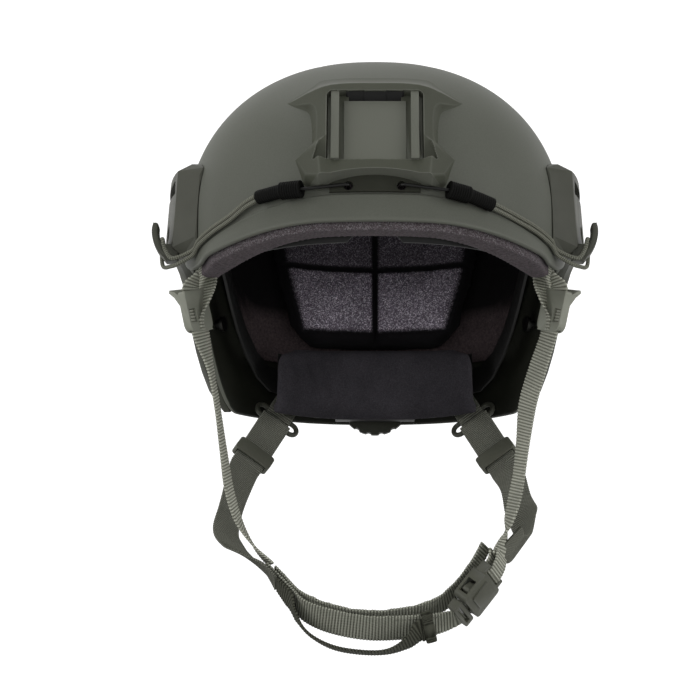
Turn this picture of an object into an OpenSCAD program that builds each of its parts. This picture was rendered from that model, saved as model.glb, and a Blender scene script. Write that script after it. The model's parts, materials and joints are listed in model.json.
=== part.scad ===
/* [Shell] */
// Half of the shell's greatest width
half_width = 108; // [106:0.5:110]
// From the centre of the head opening forward to the brow
front_reach = 132; // [130:0.5:134]
// From the centre of the head opening back to the nape
rear_reach = 132; // [130:0.5:134]
// From the centre of the head opening up to the crown
crown_height = 97; // [95:0.5:99]
// Wall of the moulded shell
shell_wall = 3.2; // [2.8:0.1:3.6]
// How far the brow's lip flares out from the dome
brow_flare = 5; // [3:0.5:5]
// Depth of the ventilation troughs
trough_depth = 2.5; // [1.5:0.5:3]
// Width of a ventilation slot
vent_width = 6; // [4:0.5:8]
// Length of a ventilation slot
vent_length = 20; // [14:1:24]

/* [Front mount] */
// Width of the flat seat
seat_width = 33; // [30:1:34]
// Height of the flat seat
seat_height = 42; // [40:1:43]
// Height of the frame above the seat
frame_height = 5; // [4:0.5:6]
// Diameter of the two hook holes under the mount
hook_hole_d = 5; // [4.6:0.2:5.2]

/* [Rails] */
// Thickness of a side rail
rail_thickness = 11; // [10:0.5:12]
// Mouth of the accessory channel in a rail
channel_width = 6; // [5:0.5:7]
// Depth of the accessory channel
channel_depth = 4; // [3:0.5:5]
// Diameter of the screws that hold rails and straps
screw_d = 5; // [4:0.5:5.5]

/* [Webbing] */
// Width of the front and chin webbing
strap_width = 16; // [15:0.5:16.5]
// Width of the rear webbing
rear_width = 19; // [18:0.5:20]
// Thickness of the webbing
web_thickness = 1.5; // [1.2:0.1:1.6]
// Diameter of the wire of the nape rings
ring_wire = 3; // [2.4:0.2:3.2]

/* [Bungee] */
// Diameter of one strand of the elastic cord
bungee_d = 2.4; // [2:0.2:2.6]
// Diameter of the wire hooks
hook_wire = 1.8; // [1.4:0.2:2]

/* [Liner] */
// Thickness of the felt lining
lining = 2.5; // [2:0.5:3]
// Thickness of the crown pad
crown_pad_thickness = 16; // [12:1:17]
// Thickness of the side pads
side_pad_thickness = 9; // [7:1:10]
// Thickness of the foam along the brow
brow_foam_thickness = 11; // [9:0.5:11.5]

/* [Fit dial] */
// Radius of the knob
knob_r = 22; // [20:0.5:23]
// Number of teeth on the pinion
pinion_teeth = 10; // [10:1:11]
// Module of the teeth
tooth_module = 1.2; // [1:0.1:1.2]

/* [Hidden] */

gap = 0.3;
seat_gap = 0.5;
plan_power = 2.3;
height_power = 2.2;
skirt_depth = 300;

// Heights of the rim at the brow, temple, ear and nape
brow_rim = -19.5;
temple_rim = -28;
ear_rim = -12;
nape_rim = -85;

green = [0.35, 0.35, 0.31];
dark_green = [0.28, 0.28, 0.24];
web_green = [0.38, 0.39, 0.35];
pale_green = [0.55, 0.56, 0.50];
black = [0.10, 0.10, 0.10];
grey_cloth = [0.27, 0.25, 0.27];
mauve = [0.35, 0.31, 0.34];
steel = [0.55, 0.55, 0.55];

function ease(t) = let (s = min(1, max(0, t))) s * s * (3 - 2 * s);
function unit(v) = v / norm(v);
function fold(th) = th > 180 ? 360 - th : (th < 0 ? -th : th);

// Radius of the dome in the direction th (0 forward, 90 right) at height z
function dome_r(th, z, off = 0) =
    let (
        b = (cos(th) > 0 ? front_reach : rear_reach) + off,
        c = (z > 0 ? crown_height + off : skirt_depth),
        ring = pow(max(0, 1 - pow(abs(z) / c, height_power)), 1 / height_power),
        plan = pow(abs(sin(th)) / (half_width + off), plan_power) + pow(abs(cos(th)) / b, plan_power)
    )
    ring / pow(plan, 1 / plan_power);

function dome_p(th, z, off = 0) =
    let (r = dome_r(th, z, off))
    [r * sin(th), -r * cos(th), z];

// Half width of the dome at depth y and height z
function dome_x(y, z, off = 0) =
    let (
        b = (y < 0 ? front_reach : rear_reach) + off,
        c = (z > 0 ? crown_height + off : skirt_depth),
        ring = pow(max(0, 1 - pow(abs(z) / c, height_power)), plan_power / height_power),
        rest = max(0, ring - pow(abs(y) / b, plan_power))
    )
    (half_width + off) * pow(rest, 1 / plan_power);

// Depth of the dome's front or rear at x and height z
function dome_y(x, z, off = 0, rear = 1) =
    let (
        b = (rear < 0 ? front_reach : rear_reach) + off,
        c = (z > 0 ? crown_height + off : skirt_depth),
        ring = pow(max(0, 1 - pow(abs(z) / c, height_power)), plan_power / height_power),
        rest = max(0, ring - pow(abs(x) / (half_width + off), plan_power))
    )
    rear * b * pow(rest, 1 / plan_power);

// Outward direction of the dome at a point on it
function dome_n(p) =
    let (
        b = p[1] < 0 ? front_reach : rear_reach,
        c = p[2] > 0 ? crown_height : skirt_depth,
        plan = pow(abs(p[0]) / half_width, plan_power) + pow(abs(p[1]) / b, plan_power),
        k = pow(plan, height_power / plan_power - 1)
    )
    unit([
        sign(p[0]) * k * pow(abs(p[0]) / half_width, plan_power - 1) / half_width,
        sign(p[1]) * k * pow(abs(p[1]) / b, plan_power - 1) / b,
        sign(p[2]) * pow(abs(p[2]) / c, height_power - 1) / c
    ]);

// Height of the rim all round, and of the crease above the brow's lip
function rim_z(th) =
    let (t = fold(th))
    brow_rim + (temple_rim - brow_rim) * ease((t - 12) / 40)
    + (ear_rim - temple_rim) * ease((t - 58) / 34)
    + (nape_rim - ear_rim) * ease((t - 106) / 30);

function crease_z(th) =
    let (t = fold(th), side = -4.5 - 17 * ease((t - 8) / 52))
    side + (rim_z(th) * 0.25 - side) * ease((t - 56) / 10);

function flare(th, z) =
    let (t = fold(th), top = crease_z(th), low = rim_z(th))
    brow_flare * (1 - ease((t - 44) / 12)) * min(1, max(0, (top - z) / (top - low)));

// Distance in plan from a point to the line between two points
function seg_dist(p, a, b) =
    let (d = b - a, t = min(1, max(0, ((p - a) * d) / (d * d))))
    norm(p - a - t * d);

vents = [
    [[30, -44], [64, 8]],
    [[34, 72], [62, 34]]
];

function trough(p) =
    let (q = [abs(p[0]), p[1]])
    p[2] < 30 ? 0 : trough_depth * max([for (v = vents) ease((15 - seg_dist(q, v[0], v[1])) / 6)]);

half_turn = concat([for (t = [0 : 6 : 102]) t], [for (t = [106 : 4 : 138]) t], [for (t = [144 : 6 : 180]) t]);
full_turn = concat(half_turn, [for (i = [len(half_turn) - 2 : -1 : 1]) 360 - half_turn[i]]);
upper_rings = 13;

// Points of one ring of the shell, from the crown (1) past the equator to the rim (19)
function shell_z(th, j, off) =
    j <= upper_rings
        ? (crown_height + off) * pow(sin(90 * (1 - j / upper_rings)), 2 / height_power)
        : (j == upper_rings + 1
            ? crease_z(th)
            : crease_z(th) + (rim_z(th) - crease_z(th)) * (j - upper_rings - 1) / 5);

function shell_p(th, j, off) =
    let (
        z = shell_z(th, j, off),
        p = dome_p(th, z, off),
        lip = flare(th, z)
    )
    p + lip * [sin(th), -cos(th), 0] - trough(p) * (off < 0 ? 0.4 : 1) * dome_n(p);

module cap_solid(rings_out, rings_in, top_out, top_in) {
    n = len(rings_out[0]);
    m = len(rings_out);
    o = n * m;
    pts = concat(
        [for (r = rings_out) each r],
        [for (r = rings_in) each r],
        [top_out, top_in]
    );
    walls = [
        for (j = [0 : m - 2])
            for (i = [0 : n - 1])
                let (a = j * n + i, b = j * n + (i + 1) % n)
                each [
                    [a, b, b + n],
                    [a, b + n, a + n],
                    [a + o, b + n + o, b + o],
                    [a + o, a + n + o, b + n + o]
                ]
    ];
    ends = [
        for (i = [0 : n - 1])
            let (k = (i + 1) % n, a = (m - 1) * n + i, b = (m - 1) * n + k)
            each [
                [2 * o, k, i],
                [2 * o + 1, i + o, k + o],
                [a, b, b + o],
                [a, b + o, a + o]
            ]
    ];
    polyhedron(points = pts, faces = concat(walls, ends), convexity = 8);
}

// A solid between two grids of points, rows downward and columns to the right as seen from outside
module slab(outer, inner) {
    n = len(outer[0]);
    m = len(outer);
    o = n * m;
    pts = concat([for (r = outer) each r], [for (r = inner) each r]);
    walls = [
        for (j = [0 : m - 2])
            for (i = [0 : n - 2])
                let (a = j * n + i, b = a + 1)
                each [
                    [a, b, b + n],
                    [a, b + n, a + n],
                    [a + o, b + n + o, b + o],
                    [a + o, a + n + o, b + n + o]
                ]
    ];
    across = [
        for (i = [0 : n - 2])
            let (a = i, b = i + 1, c = (m - 1) * n + i, d = c + 1)
            each [
                [b, a, a + o],
                [b, a + o, b + o],
                [c, d, d + o],
                [c, d + o, c + o]
            ]
    ];
    along = [
        for (j = [0 : m - 2])
            let (a = j * n, c = j * n + n - 1)
            each [
                [a, a + n, a + n + o],
                [a, a + n + o, a + o],
                [c + n, c, c + o],
                [c + n, c + o, c + n + o]
            ]
    ];
    polyhedron(points = pts, faces = concat(walls, across, along), convexity = 8);
}

// A solid swept through a list of planar sections with the same number of points
module sweep(sections) {
    k = len(sections[0]);
    m = len(sections);
    pts = [for (s = sections) each s];
    walls = [
        for (j = [0 : m - 2])
            for (i = [0 : k - 1])
                let (a = j * k + i, b = j * k + (i + 1) % k)
                each [[a, b + k, b], [a, a + k, b + k]]
    ];
    ends = [
        [for (i = [0 : k - 1]) i],
        [for (i = [k - 1 : -1 : 0]) (m - 1) * k + i]
    ];
    polyhedron(points = pts, faces = concat(walls, ends), convexity = 8);
}

// Smooth curve through a list of vectors, with n steps to a span
function spline(p, n) = [
    for (i = [0 : len(p) - 2])
        for (s = [0 : (i == len(p) - 2 ? n : n - 1)])
            let (
                t = s / n,
                a = p[max(0, i - 1)],
                b = p[i],
                c = p[i + 1],
                d = p[min(len(p) - 1, i + 2)]
            )
            0.5 * (2 * b + (c - a) * t + (2 * a - 5 * b + 4 * c - d) * t * t + (3 * b - a - 3 * c + d) * t * t * t)
];

function way(p, i) = unit(p[min(len(p) - 1, i + 1)] - p[max(0, i - 1)]);

// Sections of a flat web: stations are [x, y, z, width direction]; a late shift grows toward the end
function web_sections(stations, width, thick, n, shift, late) =
    let (
        c = spline([for (s = stations) [s[0], s[1], s[2]]], n),
        w = spline([for (s = stations) s[3]], n)
    )
    [
        for (i = [0 : len(c) - 1])
            let (
                t = way(c, i),
                f = unit(cross(t, w[i])),
                v = unit(cross(f, t)),
                o = c[i] + f * shift * (late ? ease((i / (len(c) - 1) - 0.6) / 0.3) : 1)
            )
            [
                o - v * width / 2 - f * thick / 2,
                o + v * width / 2 - f * thick / 2,
                o + v * width / 2 + f * thick / 2,
                o - v * width / 2 + f * thick / 2
            ]
    ];

module web(stations, width, thick, n = 4, shift = 0, late = false) {
    sweep(web_sections(stations, width, thick, n, shift, late));
}

// A round cord along a smooth line
function cord_sections(p, d, sides = 8) = [
    for (i = [0 : len(p) - 1])
        let (
            t = way(p, i),
            a = unit(cross(t, abs(t[2]) > 0.9 ? [0, 1, 0] : [0, 0, 1])),
            b = cross(t, a)
        )
        [for (k = [0 : sides - 1]) p[i] + (a * cos(k * 360 / sides) + b * sin(k * 360 / sides)) * d / 2]
];

module rod(a, b, d) {
    v = b - a;
    translate(a)
        rotate([0, acos(v[2] / norm(v)), atan2(v[1], v[0])])
            cylinder(h = norm(v), d = d, $fn = 24);
}

module placed(c, x, z) {
    zz = unit(z);
    xx = unit(x - (x * zz) * zz);
    yy = cross(zz, xx);
    multmatrix([
        [xx[0], yy[0], zz[0], c[0]],
        [xx[1], yy[1], zz[1], c[1]],
        [xx[2], yy[2], zz[2], c[2]],
        [0, 0, 0, 1]
    ])
        children();
}

module mirrored(side) {
    if (side > 0) {
        children();
    } else {
        mirror([1, 0, 0])
            children();
    }
}

// Places its children on the dome with +Z outward
module on_dome(p) {
    n = dome_n(p);
    translate(p)
        rotate([0, acos(n[2]), atan2(n[1], n[0])])
            children();
}

hook_hole_x = 14;
hook_hole_z = -1;
mount_screw_x = 30;
mount_screw_z = 17;
rail_screw_at = [[-38, -6], [18, 6], [66, -36]];
nape_screw_x = half_width - 55;
nape_screw_z = -71;

module shell_holes() {
    for (s = [-1, 1]) {
        for (v = vents) {
            m = (v[0] + v[1]) / 2 + (v[0] - v[1]) * 0.22;
            translate([s * m[0], m[1], 50])
                rotate(atan2(v[1][1] - v[0][1], s * (v[1][0] - v[0][0]))) {
                    translate([-(vent_length - vent_width) / 2, -vent_width / 2, 0])
                        cube([vent_length - vent_width, vent_width, 60]);
                    for (e = [-1, 1]) {
                        translate([e * (vent_length - vent_width) / 2, 0, 0])
                            cylinder(h = 60, d = vent_width, $fn = 32);
                    }
                }
        }
        for (h = rail_screw_at) {
            on_dome([s * dome_x(h[0], h[1]), h[0], h[1]])
                translate([0, 0, -9])
                    cylinder(h = 18, d = screw_d + 0.6, $fn = 32);
        }
        translate([s * hook_hole_x, 32 - front_reach, hook_hole_z])
            rotate([90, 0, 0])
                cylinder(h = 60, d = hook_hole_d, $fn = 32);
        translate([s * mount_screw_x, 42 - front_reach, mount_screw_z])
            rotate([90, 0, 0])
                cylinder(h = 60, d = screw_d + 0.6, $fn = 32);
        on_dome([s * nape_screw_x, dome_y(nape_screw_x, nape_screw_z), nape_screw_z])
            translate([0, 0, -9])
                cylinder(h = 18, d = screw_d + 0.6, $fn = 32);
    }
}

module shell() {
    color(green)
        difference() {
            cap_solid(
                [for (j = [1 : 19]) [for (t = full_turn) shell_p(t, j, 0)]],
                [for (j = [1 : 19]) [for (t = full_turn) shell_p(t, j, -shell_wall)]],
                [0, 0, crown_height],
                [0, 0, crown_height - shell_wall]
            );
            shell_holes();
        }
}

// Interior of the dome in front, as a cutter: everything behind the dome grown by off
module front_dome(off) {
    xs = [-60 : 8 : 60];
    zs = [84 : -7 : -14];
    slab(
        [for (z = zs) [for (x = xs) [x, dome_y(x, z, off, -1), z]]],
        [for (z = zs) [for (x = xs) [x, -8, z]]]
    );
}

// Flat seat of the mount: origin at its lower edge, +Y up along it, +Z outward
mount_tilt = 21;
mount_at = [0, -(front_reach + 6.6), 9];

module mount_frame() {
    placed(mount_at, [1, 0, 0], [0, -cos(mount_tilt), sin(mount_tilt)])
        children();
}

module outline(points, low, high, grow) {
    hull() {
        translate([0, 0, low])
            linear_extrude(0.1)
                offset(delta = grow)
                    polygon(points);
        translate([0, 0, high - 0.1])
            linear_extrude(0.1)
                polygon(points);
    }
}

module front_mount() {
    arch = [
        [-29, -6], [-30.5, 8], [-30, 22], [-29.5, 38], [-26, 48], [-12, 50.6],
        [12, 50.6], [26, 48], [29.5, 38], [30, 22], [30.5, 8], [29, -6]
    ];
    color(green)
        difference() {
            mount_frame() {
                difference() {
                    union() {
                        outline(arch, -15, frame_height, 4);
                        hull() {
                            translate([-21, 44, -6])
                                cube([42, 6.2, 6 + frame_height - 0.6]);
                            translate([-36, 58, -26])
                                cube([72, 4, 9]);
                            translate([-10, 64, -26])
                                cube([20, 4.5, 10]);
                        }
                        for (s = [-1, 1]) {
                            scale([s, 1, 1]) {
                                hull() {
                                    translate([20, 34, -18])
                                        cube([9, 14.5, 20]);
                                    translate([20, 47, -22])
                                        cube([6, 7, 16]);
                                    translate([45, 52, -21])
                                        cube([1.4, 1.6, 7]);
                                }
                                hull() {
                                    translate([20, -6, -14])
                                        cube([9.5, 24, 17]);
                                    translate([41, 10, -16])
                                        cube([1.4, 3, 7]);
                                    translate([33, -6, -17])
                                        cube([1.6, 3, 7]);
                                }
                            }
                        }
                    }
                    translate([-25.5, -20, -3.2])
                        cube([51, 67, 20]);
                    translate([0, -73.9, -40])
                        cylinder(h = 80, r = 75.4, $fn = 160);
                    for (s = [-1, 1]) {
                        scale([s, 1, 1])
                            translate([0, 0, 2])
                                linear_extrude(10)
                                    polygon([[26.6, 7], [26.6, 18], [28.6, 18], [32, 7]]);
                    }
                }
            }
            front_dome(seat_gap);
            for (s = [-1, 1]) {
                translate([s * mount_screw_x, 42 - front_reach, mount_screw_z])
                    rotate([90, 0, 0])
                        cylinder(h = 44, d = screw_d + 0.4, $fn = 32);
            }
        }
}

module mount_seat() {
    color(green)
        difference() {
            mount_frame() {
                difference() {
                    union() {
                        translate([-25.2, 2, -2.9])
                            cube([50.4, 44.7, 2]);
                        translate([-seat_width / 2, 2, -2.9])
                            cube([seat_width, seat_height - 2, 2.9]);
                        for (s = [-1, 1]) {
                            scale([s, 1, 1])
                                translate([0, 46.4, 0])
                                    rotate([90, 0, 0])
                                        linear_extrude(44)
                                            polygon([[19.6, -2], [19, 3.4], [23.4, 3.4], [22.6, -2]]);
                        }
                    }
                    translate([-14, seat_height + 0.6, -2.2])
                        cube([28, 3.6, 10]);
                }
            }
            front_dome(seat_gap);
        }
}

function gasket_z(x, k) = (7 - x * x / 150) * (1 - k) - 4.1 * k;

module mount_gasket() {
    xs = [-24 : 4 : 24];
    ks = [0, 1 / 3, 2 / 3, 1];
    color(dark_green)
        difference() {
            slab(
                [for (k = ks) [for (x = xs) let (z = gasket_z(x, k)) [x, dome_y(x, z, 2.8, -1), z]]],
                [for (k = ks) [for (x = xs) let (z = gasket_z(x, k)) [x, dome_y(x, z, 0.5, -1), z]]]
            );
            for (s = [-1, 1]) {
                translate([s * hook_hole_x, 32 - front_reach, hook_hole_z])
                    rotate([90, 0, 0])
                        cylinder(h = 60, d = hook_hole_d, $fn = 32);
            }
        }
}

module mount_screws() {
    inside = dome_y(mount_screw_x, mount_screw_z, -shell_wall, -1);
    color(steel)
        for (s = [-1, 1]) {
            translate([s * mount_screw_x, inside + 1.8, mount_screw_z])
                rotate([90, 0, 0]) {
                    cylinder(h = 10, d = screw_d, $fn = 32);
                    translate([0, 0, -2])
                        difference() {
                            cylinder(h = 2, d = 8, $fn = 32);
                            translate([0, 0, -0.1])
                                cylinder(h = 1.3, d = 3.5, $fn = 6);
                        }
                }
        }
}

// Side rail: stations of top edge, bottom edge (y, z) and thickness
rail_line = [
    [-68, 26, -68, -18, 1.5],
    [-60, 30, -60, -22, 11],
    [-42, 30.5, -42, -19, 11],
    [-22, 30, -22, -12.5, 11],
    [0, 28, -2, -9.5, 11],
    [20, 23, 18, -9.5, 11],
    [38, 13, 35, -12, 10.5],
    [54, -4, 46, -19, 10],
    [66, -24, 55, -34, 10],
    [76, -46, 64, -55, 9.5],
    [86, -68, 76, -76, 9],
    [92, -80, 83, -85.5, 7]
];

function rail_section(s) =
    let (
        top = [s[0], s[1]],
        low = [s[2], s[3]],
        w = norm(low - top),
        d = (low - top) / w,
        t = s[4] * rail_thickness / 11,
        profile = [
            [0, seat_gap], [0, 0.45 * t], [4, t], [w - 5, t], [w, 0.5 * t], [w, seat_gap],
            [w * 0.75, seat_gap], [w * 0.5, seat_gap], [w * 0.25, seat_gap]
        ]
    )
    [for (q = profile) let (p = top + d * q[0]) [dome_x(p[0], p[1], q[1]), p[0], p[1]]];

module rail_channel() {
    a = [half_width + 6, -72, 18];
    b = [half_width + 10.2, 10, 18];
    u = unit(b - a);
    placed(a, u, [u[1], -u[0], 0])
        rotate([90, 0, 90])
            linear_extrude(norm(b - a))
                polygon([
                    [-channel_width / 2 - 1, -channel_depth],
                    [channel_width / 2 + 1, -channel_depth],
                    [channel_width / 2, 0],
                    [channel_width / 2, 12],
                    [-channel_width / 2, 12],
                    [-channel_width / 2, 0]
                ]);
}

module rail_screw_cut(d, low, high) {
    for (h = rail_screw_at) {
        on_dome([dome_x(h[0], h[1]), h[0], h[1]])
            translate([0, 0, low])
                cylinder(h = high - low, d = d, $fn = 32);
    }
}

module rail(side) {
    first = [rail_line[0]];
    rest = spline([for (i = [1 : len(rail_line) - 1]) rail_line[i]], 2);
    color(dark_green)
        mirrored(side)
            difference() {
                union() {
                    sweep([for (s = concat(first, rest)) rail_section(s)]);
                    translate([half_width, -47, 0])
                        rotate([90, 0, 0])
                            linear_extrude(10)
                                polygon([
                                    [1, -24], [7.5, -24], [11.5, -19], [14.3, -14], [15.3, -9], [15.3, -5],
                                    [14.6, -2.4], [13.2, -2.8], [12.8, -8], [11.4, -12.4], [8.8, -14.6], [1, -14.6]
                                ]);
                }
                rail_channel();
                rail_screw_cut(screw_d + 0.6, -6, 30);
                rail_screw_cut(10.6, 6, 30);
            }
}

module rail_screws(side) {
    color(black)
        mirrored(side)
            for (h = rail_screw_at) {
                on_dome([dome_x(h[0], h[1]), h[0], h[1]]) {
                    translate([0, 0, -8])
                        cylinder(h = 15, d = screw_d, $fn = 32);
                    translate([0, 0, 6.3])
                        difference() {
                            cylinder(h = 3, d = 9.6, $fn = 40);
                            translate([0, 0, 1])
                                cylinder(h = 3, d = 4, $fn = 6);
                        }
                    translate([0, 0, -8.8])
                        cylinder(h = 2, d = 9, $fn = 40);
                }
            }
}

// Bungee: directions and heights along the crease, then round the hook of the rail
bungee_left_line = [
    [26, -2.9, 4.5], [31, -5.8, 3.2], [37, -11, 2.2], [44.5, -14.8, 2.2], [51.6, -18, 2.2], [56.6, -21.6, 2.2]
];
bungee_right_line = [
    [26, -7.2, 4.5], [30.5, -9.4, 3.2], [35.5, -11.6, 2.2], [43.5, -14.8, 2.2], [51.4, -18, 2.2], [56.6, -21.6, 2.2]
];

function bungee_run(line) =
    let (
        up = [for (p = line) dome_p(p[0], p[1] + 1.35, p[2])],
        down = [for (i = [len(line) - 1 : -1 : 0]) dome_p(line[i][0], line[i][1] - 1.35, line[i][2])],
        round_hook = [
            [half_width + 3, -62.6, -24],
            [half_width + 7.4, -60.4, -19],
            [half_width + 9, -59.4, -13],
            [half_width + 10, -52, -11.2],
            [half_width + 10, -45.6, -13],
            [half_width + 10.6, -44.8, -19],
            [half_width + 9.4, -47, -25.4],
            [half_width + 4.6, -57, -27.4],
            [half_width, -63, -27.2]
        ]
    )
    concat(up, round_hook, down);

module bungee(side, line) {
    color(web_green)
        mirrored(side)
            sweep(cord_sections(spline(bungee_run(line), 3), bungee_d));
}

module bungee_sleeve(side, line, inner_z, mid_z) {
    a = dome_p(16.2, inner_z, 5.9);
    b = dome_p(21.2, mid_z, 5.3);
    c = dome_p(27.6, line[0][1] * 0.68 + line[1][1] * 0.32, 4.1);
    u = unit(b - a);
    color(black)
        mirrored(side)
            difference() {
                union() {
                    rod(a, b, 8.4);
                    for (k = [0 : 3]) {
                        rod(a + u * (0.6 + 2.6 * k), a + u * (2.2 + 2.6 * k), 9.6);
                    }
                    rod(b, c, 7.6);
                    translate(b)
                        sphere(d = 7.7, $fn = 24);
                }
                rod(c - unit(c - b) * 6, c + unit(c - b) * 2, 6.3);
                rod(a - u, a + u * 3.4, hook_wire + 1.4);
            }
}

module bungee_hook(side, inner_z, mid_z) {
    a = dome_p(16.2, inner_z, 5.9);
    b = dome_p(21.2, mid_z, 5.3);
    p = a + unit(b - a) * 2.7;
    q = [hook_hole_x + 2.5, -front_reach - 4.8, hook_hole_z];
    r = [hook_hole_x, -front_reach - 4, hook_hole_z];
    t = [hook_hole_x, 2.4 - front_reach, hook_hole_z];
    run = [p, p * 0.5 + q * 0.5, q, (q + r) / 2 + [0, -0.5, 0], r, r * 0.5 + t * 0.5, t];
    color(steel)
        mirrored(side)
            sweep(cord_sections(spline(run, 3), hook_wire));
}

// Felt lining under the crown
lining_off = -(shell_wall + 1.6);

function lining_z(t, j) =
    let (
        k = min(j, 8),
        z = (crown_height + lining_off) * pow(sin(90 * (1 - k / 9.6)), 2 / height_power),
        low = 24 - 10 * ease((fold(t) - 30) / 20) - 42 * ease((fold(t) - 120) / 30)
    )
    z + (low - z) * max(0, j - 8) / 3;

module lining() {
    turn = [0 : 10 : 350];
    color(mauve)
        cap_solid(
            [for (j = [1 : 11]) [for (t = turn) dome_p(t, lining_z(t, j), lining_off)]],
            [for (j = [1 : 11]) [for (t = turn) dome_p(t, lining_z(t, j) * (j < 8 ? 0.97 : 1), lining_off - lining)]],
            [0, 0, crown_height + lining_off],
            [0, 0, crown_height + lining_off - lining]
        );
}

function brow_z(t, j) = [10, crease_z(t) + 1, (crease_z(t) + rim_z(t)) / 2, rim_z(t), rim_z(t) - 5.5][j];

module brow_foam() {
    turn = [-58 : 4 : 58];
    out = -(shell_wall + 0.8);
    color(mauve)
        slab(
            [for (j = [0 : 4]) [for (t = turn) let (z = brow_z(t, j)) dome_p(t, z, out) + flare(t, max(z, rim_z(t))) * [sin(t), -cos(t), 0]]],
            [for (j = [0 : 4]) [for (t = turn) dome_p(t, brow_z(t, j), -(shell_wall + brow_foam_thickness))]]
        );
}

// Head band, open at the nape where the toothed ends run
band_half = concat([0, 5.6, 7.4], [for (t = [12 : 6 : 150]) t]);
band_turn = concat([for (i = [len(band_half) - 1 : -1 : 1]) -band_half[i]], band_half);
band_off = -16;

function band_top(t) = 11 - 69 * ease((fold(t) - 105) / 42);
function band_low(t) =
    -27 + (fold(t) < 6 ? 4.5 : 0) + 19 * ease((fold(t) - 40) / 22) - 65 * ease((fold(t) - 105) / 42);

module headband() {
    color(black)
        difference() {
            union() {
                slab(
                    [for (k = [0 : 2]) [for (t = band_turn) dome_p(t, band_top(t) + (band_low(t) - band_top(t)) * k / 2, band_off)]],
                    [for (k = [0 : 2]) [for (t = band_turn) dome_p(t, band_top(t) + (band_low(t) - band_top(t)) * k / 2, band_off - 1.8)]]
                );
                for (s = [-1, 1]) {
                    for (i = [0, 1]) {
                        h = rail_screw_at[i];
                        on_dome([s * dome_x(h[0], h[1]), h[0], h[1]])
                            translate([0, 0, band_off - 0.8])
                                cylinder(h = -band_off - 5.8, d = 12, $fn = 32);
                    }
                }
            }
            for (s = [-1, 1]) {
                for (i = [0, 1]) {
                    h = rail_screw_at[i];
                    on_dome([s * dome_x(h[0], h[1]), h[0], h[1]])
                        translate([0, 0, -9.3])
                            cylinder(h = 6, d = 9.8, $fn = 32);
                }
            }
        }
}

// Thickness of a cushion at u across and v down, both -1 to 1, drawn in at its edges
function puff(u, v) = 0.4 + 0.6 * pow(max(0, 1 - pow(abs(u), 5)), 0.5) * pow(max(0, 1 - pow(abs(v), 5)), 0.5);

module brow_pad() {
    us = [-1, -0.96, -0.86, -0.7, -0.5, -0.25, 0, 0.25, 0.5, 0.7, 0.86, 0.96, 1];
    vs = [-1, -0.9, -0.65, -0.3, 0, 0.3, 0.65, 0.9, 1];
    color(black)
        slab(
            [for (v = vs) [for (u = us) dome_p(u * 48, -6 - v * 15, band_off - 2.6)]],
            [for (v = vs) [for (u = us) dome_p(u * 48, -6 - v * 15, band_off - 2.6 - 8 * puff(u, v))]]
        );
}

pad_off = lining_off - lining - 1.6;

function crown_half(z) = half_width / 2 + (z > 0 ? 12 * z / 62 : 12 * z / 42 - 16 * ease((-28 - z) / 14));

// Rise from the nearest channel or edge of a pad, at d millimetres from it
function rise(d) = let (s = min(1, d / 9)) 0.34 + 0.66 * sqrt(max(0, 1 - pow(1 - s, 2.4)));

module crown_pad() {
    us = [-1, -0.97, -0.9, -0.76, -0.54, -0.3, -0.14, -0.05, 0, 0.05, 0.14, 0.3, 0.54, 0.76, 0.9, 0.97, 1];
    zs = [62, 60.5, 57, 50, 38, 28, 22, 19.5, 18, 16.5, 14, 8, -4, -18, -30, -37, -40.5, -42];
    outer = [for (z = zs) [for (u = us) let (x = -u * crown_half(z)) [x, dome_y(x, z, pad_off), z]]];
    inner = [
        for (j = [0 : len(zs) - 1])
            [
                for (i = [0 : len(us) - 1])
                    let (
                        p = outer[j][i],
                        z = zs[j],
                        edge = (1 - abs(us[i])) * crown_half(z),
                        d = min(edge, abs(p[0]), abs(z - 18), 62 - z, z + 42),
                        n = dome_n(p)
                    )
                    p - n * crown_pad_thickness * rise(d)
            ]
    ];
    color(grey_cloth)
        slab(outer, inner);
}

module side_pad(side) {
    us = [-1, -0.95, -0.8, -0.5, 0, 0.5, 0.8, 0.95, 1];
    vs = [-1, -0.92, -0.7, -0.35, 0, 0.35, 0.7, 0.92, 1];
    color(black)
        mirrored(side)
            slab(
                [for (v = vs) [for (u = us) dome_p(88 + u * 27, 37 - v * 17, pad_off + 0.6)]],
                [for (v = vs) [for (u = us) dome_p(88 + u * 27, 37 - v * 17, pad_off - side_pad_thickness * puff(u, v))]]
            );
}

// Nape cradle, its pad and the fit dial
dial_z = -71.5;
cradle_half = half_width - 50;

module nape_cradle() {
    xs = [for (k = [10 : -1 : -10]) cradle_half * k / 10];
    color(black)
        slab(
            [for (z = [-51, -60, -70, -80, -87]) [for (x = xs) [x, dome_y(x, z, -27), z]]],
            [for (z = [-51, -60, -70, -80, -87]) [for (x = xs) [x, dome_y(x, z, -28.8), z]]]
        );
}

module nape_pad() {
    us = [-1, -0.96, -0.86, -0.66, -0.4, -0.18, 0, 0.18, 0.4, 0.66, 0.86, 0.96, 1];
    vs = [-1, -0.94, -0.78, -0.5, -0.2, 0.2, 0.5, 0.78, 0.94, 1];
    outer = [for (v = vs) [for (u = us) let (x = -u * (cradle_half - 3), z = -66 - v * 21) [x, dome_y(x, z, -29.4), z]]];
    color(grey_cloth)
        slab(
            outer,
            [
                for (j = [0 : len(vs) - 1])
                    [for (i = [0 : len(us) - 1]) outer[j][i] - dome_n(outer[j][i]) * 13 * puff(us[i], vs[j])]
            ]
        );
}

rack_y = rear_reach - 25;
rack_depth = 3;
pitch_r = tooth_module * pinion_teeth / 2;
rack_back = pitch_r + 1.25 * tooth_module + 3.5;

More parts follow.
